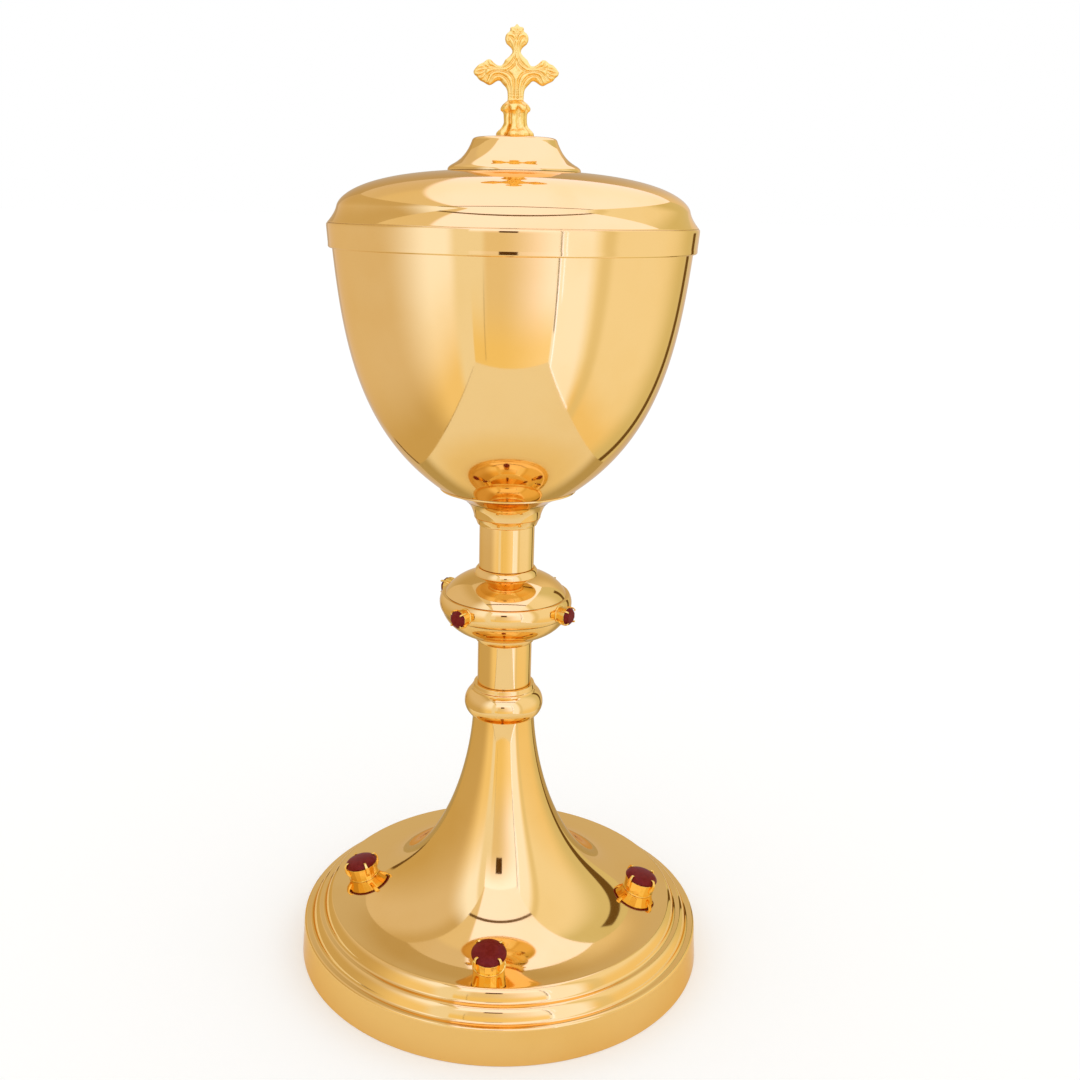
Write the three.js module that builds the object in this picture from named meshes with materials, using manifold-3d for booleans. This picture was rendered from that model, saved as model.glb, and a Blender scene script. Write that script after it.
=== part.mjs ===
// A lidded ciborium of spun and turned gilt brass, standing on its foot.
// Millimetres, +Z up. The foot stands on z = 0 and every turned piece shares the Z axis.
import * as THREE from "three";
import { mergeVertices } from "three/addons/utils/BufferGeometryUtils.js";
import Module from "manifold-3d";

const wasm = await Module();
wasm.setup();

// Fineness of the round pieces
const largeFacets = 36;
const mediumFacets = 24;
const smallFacets = 12;
const flareSteps = 10;

// Clearances
const seat = 0.05; // between two pieces that rest on each other
const slip = 0.25; // between the lid's rim band and the cup's mouth
const boreClearance = 0.25; // round a rod or a stud in its hole
const stoneClearance = 0.1; // between a stone and its claws

// Foot: a trumpet neck that flares into a dish, two ridges and an upright wall
const footRadius = 61.8;
const footWallBatter = 0.8; // how much narrower the wall is at its top
const footWallHeight = 11.1;
const footWallRounding = 0.4;
const footSheet = 1;
const footHem = 1.9;
const footHemHeight = 2.2;
const footHeight = 77.05;
const neckRadius = 9.2;
const neckPull = 14; // how far the neck keeps its direction
const neckSpread = 0.4;
const dishPull = 34.4; // how far the dish keeps its direction
const dishDip = 0.75;
const ridgeRounding = 1.3;
const coveRounding = 1.4; // of the hollow below each ridge
const ridgeDrop = 3.4; // from each ridge down to the next ledge
const ridgePitch = 3.8; // from the upper ridge out to the lower
const shelfWidth = 4.1; // from the lower ridge out to the wall
const grooveWidth = 1.5; // between the dish's edge and the upper ridge
const grooveDepth = 0.35;

// Stem: a ring, two tubes with the knop between them, and the collar under the cup
const tubeRadius = 8;
const tubeWall = 1;
const lowerTubeHeight = 13.3;
const upperTubeHeight = 12.9;
const ringHeight = 9.9;
const ringBulge = 3.75; // how far the bead stands out past the tube
const ringBeadHeight = 7.6;
const ringBeadRounding = 5;
const ringTopStep = 1;
const knopLowerHeight = 9.2;
const knopBandHeight = 5.35;
const knopUpperHeight = 7.85;
const knopBandEdgeRadius = 19;
const knopBandBulge = 0.45;
const knopBandWall = 1.2;
const knopUpperInset = 0.7; // of the upper half's edge from the band's
const knopLowerInset = 0.2;
const knopUpperBelly = 2.1;
const knopLowerBelly = 2;
const knopShoulder = 1.9; // height lost before a half turns down to its edge
const knopStep = 1.35; // how far the step stands out past the tube
const knopStepHeight = 1.95;
const knopSheet = 1;
const collarHeight = 6.9;
const collarFootStep = 0.6;
const collarBeadStep = 1.5;
const collarBeadHeight = 2.3;
const collarTopRadius = 12;
const spigotRadius = 6;
const spigotHeight = 2.1;
const discInset = 0.2; // of the disc's rim from the cup's seam
const discHeight = 4.1;
const discRimHeight = 0.5;

// Cup
const cupHeight = 71.4;
const cupStraightHeight = 4.2;
const cupMouthRadius = 48.9;
const cupSeamRadius = 19.8;
const cupSheet = 1;
const cupFloorDip = 1.5; // depth of the hidden floor below the seam
const cupSideAngle = 36.15; // slope of the side where it leaves the seam, in degrees
const cupSidePull = 28.1; // how far the side keeps that slope
const cupShoulderLean = 5.55; // from upright where the side meets the mouth, in degrees
const cupShoulderPull = 26.35;

// Lid
const bandHeight = 6.45;
const bandWall = 0.85;
const bandSwell = 0.3; // how much thicker the band is at its top
const bandLap = 0.95; // how far the band reaches up round the flange
const flangeHeight = 2.85;
const beadInset = 2.55; // of the dome's bead from the flange's edge
const beadTuck = 0.3;
const beadLip = 0.4;
const domeHeight = 11.1;
const domeEdgePull = 1.9; // how far the dome's edge stays upright
const domeShoulder = 5.3; // how far short of its edge the dome stays flat
const domeFall = 1.1;
const domeCrown = 0.2;
const lidSheet = 1;
const bossFootRadius = 17.9;
const bossLip = 0.6;
const bossLipInset = 0.3;
const bossFootPull = 1.3; // how far the boss keeps its slope above the lip
const bossHeight = 8.6;
const bossTopRadius = 11.4;
const bossRounding = 1.9;
const bossSheet = 1;

// Cross
const crossReach = 11.3; // from the crossing to the tip of an arm
const crossTopReach = 11.8;
const crossingHeight = 16.2; // of the crossing above the boss
const crossThickness = 2.6;
const crossBevel = 0.5;
const crossNeckHalf = 1.65; // half width where an arm leaves the crossing
const crossTopNeckHalf = 1.25;
const crossLeafHalf = 3.05;
const crossShaftHalf = 2.3;
const crossFootRadius = 4.9;
const crossFootHeight = 3.5;
const crossFootRim = 0.8;
const crossWaistRadius = 2.8;
const crossCapitalRadius = 3.6;
const crossCapitalHeight = 7.4;

// Fasteners
const rodRadius = 3;
const rodTail = 4; // of the tie rod below its nut
const rodEngagement = 5;
const rodWasherMargin = 0.8; // between the washer and the inside of the neck
const rodWasherThickness = 1.5;
const rodNutAcrossFlats = 10;
const rodNutHeight = 5;
const studRadius = 1.5;
const studTail = 1.2;
const studEngagement = 6;
const studWasherRadius = 3.5;
const studWasherThickness = 0.5;
const studNutAcrossFlats = 5.5;
const studNutHeight = 2.4;

// Settings and stones
const footGem = {
  count: 4,
  startAngle: -3.5,
  stoneRadius: 5,
  stoneEdge: 0.5,
  crown: 1.4,
  tableInset: 1.9,
  height: 3.2, // from the dish to the stone
  baseInset: 0.5, // of the collet's base from the stone's edge
  topInset: 0.15,
  wall: 0.6,
  clawWidth: 1.5,
  clawThickness: 0.55,
  clawReach: 1.1,
  clawTurns: [45, 45, 45, 30],
};
const knopGem = {
  count: 4,
  startAngle: -36.5,
  stoneRadius: 2.6,
  stoneEdge: 0.3,
  crown: 0.8,
  tableInset: 1,
  height: 2.7,
  baseInset: 0.35,
  topInset: 0.1,
  wall: 0.45,
  clawWidth: 0.9,
  clawThickness: 0.4,
  clawReach: 0.6,
  clawTurns: [45, 45, 45, 45],
};
const footGemInset = 8.5; // of the settings' centres from the dish's edge

// Radii worked out from the sizes above
const footWallTopRadius = footRadius - footWallBatter;
const lowerRidgeStart = footWallTopRadius - shelfWidth;
const upperRidgeStart = lowerRidgeStart - ridgePitch;
const dishEdgeRadius = upperRidgeStart - grooveWidth;
const bandInner = cupMouthRadius + slip;
const bandOuter = bandInner + bandWall;
const flangeRadius = bandOuter + bandSwell;
const domeRadius = flangeRadius - beadInset;
const rodBore = rodRadius + boreClearance;
const studBore = studRadius + boreClearance;

// Heights worked out from the sizes above, from the foot up
const lowerRidgeTop = footWallHeight + ridgeDrop;
const dishEdgeHeight = lowerRidgeTop + ridgeDrop;
const ringBase = footHeight + seat;
const lowerTubeBase = ringBase + ringHeight + seat;
const knopBase = lowerTubeBase + lowerTubeHeight + seat;
const knopBandBase = knopBase + knopLowerHeight + seat;
const knopUpperBase = knopBandBase + knopBandHeight + seat;
const upperTubeBase = knopUpperBase + knopUpperHeight + seat;
const collarBase = upperTubeBase + upperTubeHeight + seat;
const collarTop = collarBase + collarHeight;
const discBase = collarTop + seat;
const seamHeight = discBase + discHeight + seat;
const mouthHeight = seamHeight + cupHeight;
const flangeBase = mouthHeight + seat;
const bandTop = flangeBase + bandLap;
const flangeTop = bandTop + flangeHeight;
const domeTop = flangeTop + domeHeight;
const bossBase = domeTop + seat;
const bossTop = bossBase + bossHeight;
const crossBase = bossTop + seat;

// Materials
const gold = new THREE.MeshStandardMaterial({
  color: 0xe6b45c,
  metalness: 1,
  roughness: 0.12,
});
const castGold = new THREE.MeshStandardMaterial({
  color: 0xe3ab52,
  metalness: 1,
  roughness: 0.3,
});
const steel = new THREE.MeshStandardMaterial({
  color: 0xb4b6b8,
  metalness: 1,
  roughness: 0.35,
});
const ruby = new THREE.MeshStandardMaterial({
  color: 0x6e1d1c,
  metalness: 0,
  roughness: 0.15,
});

// Outlines are lists of (radius, height) points, followed anticlockwise
const at = (radius, height) => new THREE.Vector2(radius, height);

function arc(centre, radius, fromDegrees, toDegrees, steps) {
  const points = [];
  for (let i = 0; i <= steps; i++) {
    const angle = THREE.MathUtils.degToRad(
      fromDegrees + ((toDegrees - fromDegrees) * i) / steps,
    );
    points.push(
      at(centre.x + radius * Math.cos(angle), centre.y + radius * Math.sin(angle)),
    );
  }
  return points;
}

// Points a distance to the left of a curve as it runs
function besideCurve(curve, distance, steps) {
  const points = [];
  for (let i = 0; i <= steps; i++) {
    const along = curve.getTangent(i / steps);
    const here = curve.getPoint(i / steps);
    points.push(at(here.x - along.y * distance, here.y + along.x * distance));
  }
  return points;
}

// A straight wall between two radii and two heights
const ringOutline = (inner, outer, low, high) => [
  at(inner, low),
  at(outer, low),
  at(outer, high),
  at(inner, high),
  at(inner, low),
];

// Solid of revolution about the Z axis
function turned(outline, facets) {
  const geometry = new THREE.LatheGeometry(outline, facets);
  geometry.rotateX(Math.PI / 2);
  return geometry;
}

function solidOf(geometry) {
  const plain = geometry.clone();
  plain.deleteAttribute("normal");
  plain.deleteAttribute("uv");
  const merged = mergeVertices(plain, 1e-4);
  return new wasm.Manifold(
    new wasm.Mesh({
      numProp: 3,
      vertProperties: new Float32Array(merged.attributes.position.array),
      triVerts: new Uint32Array(merged.index.array),
    }),
  );
}

function geometryOf(solid) {
  const mesh = solid.getMesh();
  const geometry = new THREE.BufferGeometry();
  geometry.setAttribute("position", new THREE.BufferAttribute(mesh.vertProperties, 3));
  geometry.setIndex(new THREE.BufferAttribute(mesh.triVerts, 1));
  geometry.computeVertexNormals();
  return geometry;
}

function named(name, geometry, material) {
  const mesh = new THREE.Mesh(geometry, material);
  mesh.name = name;
  return mesh;
}

// Neck and dish of the foot, from the top of the neck out to the dish's edge
const flare = new THREE.CubicBezierCurve(
  at(neckRadius, footHeight),
  at(neckRadius + neckSpread, footHeight - neckPull),
  at(dishEdgeRadius - dishPull, dishEdgeHeight - dishDip),
  at(dishEdgeRadius, dishEdgeHeight),
);

// A ridge of the foot's moulding and the cove below it, from the top down
function ridgeAndCove(start, top) {
  const side = start + ridgeRounding;
  const floor = top - ridgeDrop;
  return [
    ...arc(at(start, top - ridgeRounding), ridgeRounding, 90, 0, 2),
    ...arc(at(side + coveRounding, floor + coveRounding), coveRounding, 180, 270, 2),
  ];
}

function footShell() {
  const wallTop = footWallHeight - footWallRounding;
  const hemRadius = footRadius - footHem;
  const hollowEdge = lowerRidgeStart + ridgeRounding + coveRounding - footSheet;
  const outside = [
    ...flare.getPoints(flareSteps),
    at(dishEdgeRadius + grooveWidth / 2, dishEdgeHeight - grooveDepth),
    ...ridgeAndCove(upperRidgeStart, dishEdgeHeight),
    ...ridgeAndCove(lowerRidgeStart, lowerRidgeTop),
    at(footWallTopRadius - footWallRounding, footWallHeight),
    at(footWallTopRadius, wallTop),
    at(footRadius, 0),
  ].reverse();
  const inside = besideCurve(flare, -footSheet, flareSteps).filter(
    (point) => point.y < footHeight - 2 * footSheet,
  );
  return turned(
    [
      ...outside,
      at(rodBore, footHeight),
      at(rodBore, footHeight - footSheet),
      at(neckRadius - footSheet, footHeight - footSheet),
      ...inside,
      at(hollowEdge, footWallHeight - footSheet),
      at(footWallTopRadius - footSheet, wallTop - 1.5 * footSheet),
      at(footRadius - 1.2 * footSheet, footHemHeight),
      at(hemRadius, footHemHeight),
      at(hemRadius, 0),
      at(footRadius, 0),
    ],
    largeFacets,
  );
}

function stemRing() {
  const half = ringBeadHeight / 2;
  const reach = THREE.MathUtils.radToDeg(Math.asin(half / ringBeadRounding));
  const bead = at(tubeRadius + ringBulge - ringBeadRounding, ringBase + half);
  return turned(
    [
      at(rodBore, ringBase),
      ...arc(bead, ringBeadRounding, -reach, reach, 6),
      at(tubeRadius + ringTopStep, ringBase + ringHeight),
      at(rodBore, ringBase + ringHeight),
      at(rodBore, ringBase),
    ],
    mediumFacets,
  );
}

const stemTube = (base, height) =>
  turned(ringOutline(tubeRadius - tubeWall, tubeRadius, base, base + height), mediumFacets);

// Half of the knop, hollow, with a small step where it meets its tube.
// The outline runs from the step to the edge, and direction is 1 with the step on top.
function knopHalf(edge, stepEnd, direction, belly) {
  const stepRadius = tubeRadius + knopStep;
  const stepStart = stepEnd - direction * knopStepHeight;
  const side = new THREE.QuadraticBezierCurve(
    at(stepRadius + seat, stepStart),
    at(edge.x - belly, stepStart - direction * knopShoulder),
    edge,
  );
  const outline = [
    at(rodBore, stepEnd),
    at(stepRadius, stepEnd),
    ...side.getPoints(4),
    at(edge.x - knopSheet, edge.y),
    ...besideCurve(side, -direction * knopSheet, 4)
      .slice(0, 4)
      .reverse(),
    at(rodBore, stepStart - direction * knopSheet),
    at(rodBore, stepEnd),
  ];
  return turned(direction > 0 ? outline.reverse() : outline, mediumFacets);
}

const knopUpperHalf = () =>
  knopHalf(
    at(knopBandEdgeRadius - knopUpperInset, knopUpperBase),
    knopUpperBase + knopUpperHeight,
    1,
    knopUpperBelly,
  );

const knopLowerHalf = () =>
  knopHalf(
    at(knopBandEdgeRadius - knopLowerInset, knopBase + knopLowerHeight),
    knopBase,
    -1,
    knopLowerBelly,
  );

function knopBand() {
  const half = knopBandHeight / 2;
  const rounding = (half * half + knopBandBulge * knopBandBulge) / (2 * knopBandBulge);
  const reach = THREE.MathUtils.radToDeg(Math.asin(half / rounding));
  const middle = at(knopBandEdgeRadius + knopBandBulge - rounding, knopBandBase + half);
  const inner = knopBandEdgeRadius - knopBandWall;
  return turned(
    [
      at(inner, knopBandBase),
      ...arc(middle, rounding, -reach, reach, 4),
      at(inner, knopBandBase + knopBandHeight),
      at(inner, knopBandBase),
    ],
    mediumFacets,
  );
}

// Collar under the cup, with a blind hole for the tie rod and a spigot for the disc
function cupCollar() {
  const hole = rodRadius + seat;
  const holeEnd = collarBase + rodEngagement + 1;
  const beadRadius = tubeRadius + collarBeadStep;
  const beadTop = collarBase + collarBeadHeight;
  return turned(
    [
      at(hole, collarBase),
      at(tubeRadius + collarFootStep, collarBase),
      at(beadRadius - 0.1 * collarBeadHeight, collarBase + 0.4 * collarBeadHeight),
      at(beadRadius, beadTop),
      at(beadRadius + 0.15 * collarBeadHeight, beadTop + 0.1 * collarBeadHeight),
      at(collarTopRadius, collarTop),
      at(spigotRadius, collarTop),
      at(spigotRadius, collarTop + spigotHeight),
      at(0, collarTop + spigotHeight),
      at(0, holeEnd),
      at(hole, holeEnd),
      at(hole, collarBase),
    ],
    mediumFacets,
  );
}

// Hidden floor of the cup, from the axis out to the seam, that the disc carries
const cupFloor = new THREE.CubicBezierCurve(
  at(0, seamHeight - cupFloorDip),
  at(0.5 * cupSeamRadius, seamHeight - cupFloorDip),
  at(0.8 * cupSeamRadius, seamHeight - 0.6 * cupFloorDip),
  at(cupSeamRadius, seamHeight),
);
const floorSteps = 4;

function cupBaseDisc() {
  const hole = spigotRadius + seat;
  const rim = cupSeamRadius - discInset;
  const underside = new THREE.QuadraticBezierCurve(
    at(collarTopRadius, discBase),
    at(collarTopRadius + 0.5 * discHeight, discBase + 0.4 * discHeight),
    at(rim, discBase + discHeight - discRimHeight),
  );
  const upperSide = cupFloor
    .getPoints(floorSteps)
    .filter((point) => point.x > hole && point.x < rim - discInset)
    .map((point) => at(point.x, point.y - 2 * seat))
    .reverse();
  return turned(
    [
      at(hole, discBase),
      ...underside.getPoints(4),
      at(rim, discBase + discHeight - seat),
      ...upperSide,
      at(hole, seamHeight - cupFloorDip - 2 * seat),
      at(hole, discBase),
    ],
    mediumFacets,
  );
}

function cupShell() {
  const straightBase = mouthHeight - cupStraightHeight;
  const sideSlope = THREE.MathUtils.degToRad(cupSideAngle);
  const lean = THREE.MathUtils.degToRad(cupShoulderLean);
  const side = new THREE.CubicBezierCurve(
    at(cupSeamRadius, seamHeight),
    at(
      cupSeamRadius + cupSidePull * Math.cos(sideSlope),
      seamHeight + cupSidePull * Math.sin(sideSlope),
    ),
    at(
      cupMouthRadius - cupShoulderPull * Math.sin(lean),
      straightBase - cupShoulderPull * Math.cos(lean),
    ),
    at(cupMouthRadius, straightBase),
  );
  const lip = cupSheet / 2;
  return turned(
    [
      ...cupFloor.getPoints(floorSteps).slice(0, floorSteps),
      ...side.getPoints(9),
      ...arc(at(cupMouthRadius - lip, mouthHeight - lip), lip, 0, 180, 2),
      ...besideCurve(side, cupSheet, 9).reverse(),
      at(0.7 * cupSeamRadius, seamHeight - 0.6 * cupFloorDip + cupSheet),
      at(0, seamHeight - cupFloorDip + cupSheet),
    ],
    largeFacets,
  );
}

// Band that hangs from the lid round the cup's mouth
function lidRimBand() {
  const low = bandTop - bandHeight;
  return turned(
    [
      at(bandInner, low),
      at(bandOuter, low),
      at(flangeRadius, low + 0.25 * bandHeight),
      at(flangeRadius, bandTop),
      at(bandInner, bandTop),
      at(bandInner, low),
    ],
    largeFacets,
  );
}

// Outside of the dome, from under the boss down to its rounded edge
const domeSide = new THREE.CubicBezierCurve(
  at(bossFootRadius, domeTop - domeCrown),
  at(domeRadius - domeShoulder, domeTop - domeFall),
  at(domeRadius, flangeTop + beadLip + domeEdgePull),
  at(domeRadius, flangeTop + beadLip),
);

// Dome and the sloped flange below it, which rests on the cup's lip
function lidDome() {
  const seatInner = cupMouthRadius - 2 * cupSheet;
  const seatOuter = bandInner - seat;
  return turned(
    [
      at(seatInner, flangeBase),
      at(seatOuter, flangeBase),
      at(seatOuter, bandTop + seat),
      at(flangeRadius, bandTop + seat),
      at(domeRadius - beadTuck, flangeTop),
      ...domeSide.getPoints(8).reverse(),
      at(studBore, domeTop),
      at(studBore, domeTop - lidSheet),
      ...besideCurve(domeSide, -lidSheet, 8),
      at(seatInner, flangeTop - beadTuck),
      at(seatInner, flangeBase),
    ],
    largeFacets,
  );
}

function lidBoss() {
  const lipTop = bossBase + bossLip;
  const side = new THREE.CubicBezierCurve(
    at(bossFootRadius - bossLipInset, lipTop + bossLipInset),
    at(bossFootRadius - 0.75 * bossFootPull, lipTop + bossFootPull),
    at(bossTopRadius + bossRounding, bossTop - 3 * bossRounding),
    at(bossTopRadius, bossTop - bossRounding / 2),
  );
  const corner = at(bossTopRadius - bossRounding / 2, bossTop - bossRounding / 6);
  return turned(
    [
      at(bossFootRadius - bossSheet, bossBase),
      at(bossFootRadius, bossBase),
      at(bossFootRadius, lipTop),
      ...side.getPoints(5),
      corner,
      at(bossTopRadius - bossRounding, bossTop),
      at(studBore, bossTop),
      at(studBore, bossTop - bossSheet),
      at(corner.x - bossSheet, bossTop - bossSheet),
      ...besideCurve(side, bossSheet, 5).reverse(),
      at(bossFootRadius - bossSheet, bossBase),
    ],
    mediumFacets,
  );
}

// One side of an arm's leafy end: (distance from the crossing, half width)
function leafEnd(reach, neck) {
  return [
    [0.42 * reach, neck],
    [0.53 * reach, (neck + crossLeafHalf) / 2],
    [0.63 * reach, crossLeafHalf],
    [0.72 * reach, 0.9 * crossLeafHalf],
    [0.79 * reach, 0.72 * crossLeafHalf],
    [0.88 * reach, 0.64 * crossLeafHalf],
    [0.96 * reach, 0.33 * crossLeafHalf],
  ];
}

// Cast cross: three leafy arms and a shaft, on a turned foot with a small capital
function crossFinial() {
  const centre = crossBase + crossingHeight;
  const shaftEnd = crossCapitalHeight - crossingHeight;
  const arm = leafEnd(crossReach, crossNeckHalf);
  const top = leafEnd(crossTopReach, crossTopNeckHalf);
  const corner = 2 * crossNeckHalf;
  const rightHalf = [
    [crossShaftHalf, shaftEnd],
    [crossShaftHalf, -1.25 * corner],
    [0.8 * corner, -0.95 * corner],
    [corner, -0.7 * corner],
    ...arm.map(([along, half]) => [along, -half]),
    [crossReach, 0],
    ...arm.toReversed().map(([along, half]) => [along, half]),
    [corner, 0.7 * corner],
    [0.8 * corner, corner],
    ...top.map(([along, half]) => [half, along]),
    [0, crossTopReach],
  ];
  const leftHalf = rightHalf
    .slice(0, -1)
    .toReversed()
    .map(([x, z]) => [-x, z]);
  const outline = new THREE.Shape(
    [...rightHalf, ...leftHalf].map(([x, z]) => at(x, z)),
  );
  const plate = new THREE.ExtrudeGeometry(outline, {
    depth: crossThickness - 2 * crossBevel,
    bevelEnabled: true,
    bevelSegments: 1,
    bevelSize: crossBevel,
    bevelOffset: -crossBevel,
    bevelThickness: crossBevel,
  });
  plate.translate(0, 0, crossBevel - crossThickness / 2);
  plate.rotateX(Math.PI / 2);
  plate.translate(0, 0, centre);
  const hole = studRadius + seat;
  const holeEnd = crossBase + studEngagement + 0.5;
  const capital = crossBase + crossCapitalHeight;
  const foot = turned(
    [
      at(hole, crossBase),
      at(crossFootRadius, crossBase),
      at(crossFootRadius, crossBase + crossFootRim),
      at(0.8 * crossFootRadius, crossBase + (crossFootRim + crossFootHeight) / 2),
      at(crossWaistRadius, crossBase + crossFootHeight),
      at(crossWaistRadius, capital - 2 * (crossCapitalRadius - crossWaistRadius)),
      at(crossCapitalRadius, capital),
      at(0.8 * crossCapitalRadius, capital + 0.3 * crossCapitalRadius),
      at(0, capital + 0.4 * crossCapitalRadius),
      at(0, holeEnd),
      at(hole, holeEnd),
      at(hole, crossBase),
    ],
    smallFacets,
  );
  return geometryOf(solidOf(plate).add(solidOf(foot)));
}

// A washer or a hexagonal nut round a rod
const washer = (bore, radius, low, high) =>
  turned(ringOutline(bore, radius, low, high), smallFacets);

function hexNut(bore, acrossFlats, low, high) {
  const outline = new THREE.Shape();
  for (let i = 0; i < 6; i++) {
    const angle = (i * Math.PI) / 3;
    const corner = acrossFlats / Math.sqrt(3);
    const x = corner * Math.cos(angle);
    const y = corner * Math.sin(angle);
    if (i) outline.lineTo(x, y);
    else outline.moveTo(x, y);
  }
  outline.holes.push(new THREE.Path().absarc(0, 0, bore, 0, 2 * Math.PI, true));
  const nut = new THREE.ExtrudeGeometry(outline, {
    depth: high - low,
    bevelEnabled: false,
    curveSegments: smallFacets / 2,
  });
  nut.translate(0, 0, low);
  return nut;
}

const rod = (radius, low, high) =>
  turned([at(0, low), at(radius, low), at(radius, high), at(0, high)], smallFacets);

// A claw setting about its own Z axis, with its flat base on z = 0
function clawSetting(gem, clawTurn) {
  const { stoneRadius, wall, height, clawThickness, clawReach } = gem;
  const base = stoneRadius - gem.baseInset;
  const top = stoneRadius - gem.topInset;
  const collet = turned(
    [
      at(base - wall, 0),
      at(base, 0),
      at(top, height),
      at(top - wall, height),
      at(base - wall, 0),
    ],
    smallFacets,
  );
  const girdle = height + seat + gem.stoneEdge;
  const inner = stoneRadius + stoneClearance;
  const tip = girdle + (clawReach * gem.crown) / gem.tableInset + 2 * stoneClearance;
  const outline = new THREE.Shape([
    at(base - wall / 2, 0.1 * height),
    at(base + clawThickness, 0.1 * height),
    at(inner + clawThickness, height),
    at(inner + 0.8 * clawThickness, girdle + 0.5 * clawThickness),
    at(stoneRadius - 0.8 * clawReach, tip + clawThickness),
    at(stoneRadius - clawReach, tip),
    at(inner, girdle + stoneClearance),
    at(inner, height),
    at(top - wall / 2, 0.85 * height),
  ]);
  let solid = solidOf(collet);
  for (let i = 0; i < 4; i++) {
    const claw = new THREE.ExtrudeGeometry(outline, {
      depth: gem.clawWidth,
      bevelEnabled: false,
    });
    claw.translate(0, 0, -gem.clawWidth / 2);
    claw.rotateX(Math.PI / 2);
    claw.rotateZ(THREE.MathUtils.degToRad(clawTurn + 90 * i));
    solid = solid.add(solidOf(claw));
  }
  return geometryOf(solid);
}

// A flat-backed stone with a bevelled crown, about the same axis as its setting
function crownedStone(gem) {
  const back = gem.height + seat;
  const girdle = back + gem.stoneEdge;
  return turned(
    [
      at(0, back),
      at(0.92 * gem.stoneRadius, back),
      at(gem.stoneRadius, back + 0.4 * gem.stoneEdge),
      at(gem.stoneRadius, girdle),
      at(gem.stoneRadius - gem.tableInset, girdle + gem.crown),
      at(0, girdle + 1.1 * gem.crown),
    ],
    smallFacets,
  );
}

// Points along the flare's modelled outline, so many from each corner to the next
function flareOutline(pieces) {
  const corners = flare.getPoints(flareSteps);
  const points = [];
  for (let i = 0; i < flareSteps; i++) {
    for (let j = 0; j < pieces; j++) {
      points.push(corners[i].clone().lerp(corners[i + 1], j / pieces));
    }
  }
  return points;
}

// Where a flat base stands on the flare at a radius, clear of the hollow, and its lean outward
function standOnFlare(radius, baseRadius) {
  const points = flareOutline(50);
  const foot = points.find((point) => point.x >= radius);
  const before = points.findLast((point) => point.x < radius - baseRadius);
  const after = points.find((point) => point.x > radius + baseRadius);
  const along = after.clone().sub(before).normalize();
  const normal = at(-along.y, along.x);
  let rise = 0;
  for (const point of points) {
    const away = point.clone().sub(foot);
    if (Math.abs(away.dot(along)) <= baseRadius + 1) {
      rise = Math.max(rise, away.dot(normal));
    }
  }
  return {
    point: foot.addScaledVector(normal, rise + seat),
    lean: -Math.atan2(along.y, along.x),
  };
}

// One setting with its stone, standing at a radius and height, turned round the object's axis.
// The lean is the angle of the setting's own axis from upright to outward.
function gemGroup(gem, index, place, lean, label) {
  const angle = gem.startAngle + (360 / gem.count) * index;
  const spot = new THREE.Group();
  spot.rotation.z = THREE.MathUtils.degToRad(angle - 90);
  const stand = new THREE.Group();
  stand.position.set(place.x, 0, place.y);
  stand.rotation.y = lean;
  stand.add(
    named(`${label}_setting_${index + 1}`, clawSetting(gem, gem.clawTurns[index]), castGold),
    named(`${label}_stone_${index + 1}`, crownedStone(gem), ruby),
  );
  spot.add(stand);
  return spot;
}

// Foot, stem and cup, held together by the tie rod
function body() {
  const group = new THREE.Group();
  const hole = rodRadius + seat;
  const washerTop = footHeight - footSheet - seat;
  const washerBase = washerTop - rodWasherThickness;
  const nutTop = washerBase - seat;
  const nutBase = nutTop - rodNutHeight;
  const washerRadius = neckRadius - footSheet - rodWasherMargin;
  group.add(
    named("foot_shell", footShell(), gold),
    named("stem_ring", stemRing(), gold),
    named("lower_stem_tube", stemTube(lowerTubeBase, lowerTubeHeight), gold),
    named("knop_lower_half", knopLowerHalf(), gold),
    named("knop_band", knopBand(), gold),
    named("knop_upper_half", knopUpperHalf(), gold),
    named("upper_stem_tube", stemTube(upperTubeBase, upperTubeHeight), gold),
    named("cup_collar", cupCollar(), gold),
    named("cup_base_disc", cupBaseDisc(), gold),
    named("cup_shell", cupShell(), gold),
    named("tie_rod", rod(rodRadius, nutBase - rodTail, collarBase + rodEngagement), steel),
    named("tie_rod_washer", washer(hole, washerRadius, washerBase, washerTop), steel),
    named("tie_rod_nut", hexNut(hole, rodNutAcrossFlats, nutBase, nutTop), steel),
  );
  const baseRadius = footGem.stoneRadius - footGem.baseInset + footGem.clawThickness;
  const onDish = standOnFlare(dishEdgeRadius - footGemInset, baseRadius);
  for (let i = 0; i < footGem.count; i++) {
    group.add(gemGroup(footGem, i, onDish.point, onDish.lean, "foot"));
  }
  const onBand = at(
    knopBandEdgeRadius + knopBandBulge + seat,
    knopBandBase + knopBandHeight / 2,
  );
  for (let i = 0; i < knopGem.count; i++) {
    group.add(gemGroup(knopGem, i, onBand, Math.PI / 2, "knop"));
  }
  return group;
}

// Lid with its boss and cross, which lifts off the cup as one
function lid() {
  const group = new THREE.Group();
  const hole = studRadius + seat;
  const washerTop = domeTop - lidSheet - seat;
  const washerBase = washerTop - studWasherThickness;
  const nutTop = washerBase - seat;
  const nutBase = nutTop - studNutHeight;
  group.add(
    named("lid_rim_band", lidRimBand(), gold),
    named("lid_dome", lidDome(), gold),
    named("lid_boss", lidBoss(), gold),
    named("cross_finial", crossFinial(), castGold),
    named("cross_stud", rod(studRadius, nutBase - studTail, crossBase + studEngagement), steel),
    named("cross_washer", washer(hole, studWasherRadius, washerBase, washerTop), steel),
    named("cross_nut", hexNut(hole, studNutAcrossFlats, nutBase, nutTop), steel),
  );
  return group;
}

const ciborium = new THREE.Group();
ciborium.add(body(), lid());

export default ciborium;
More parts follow.
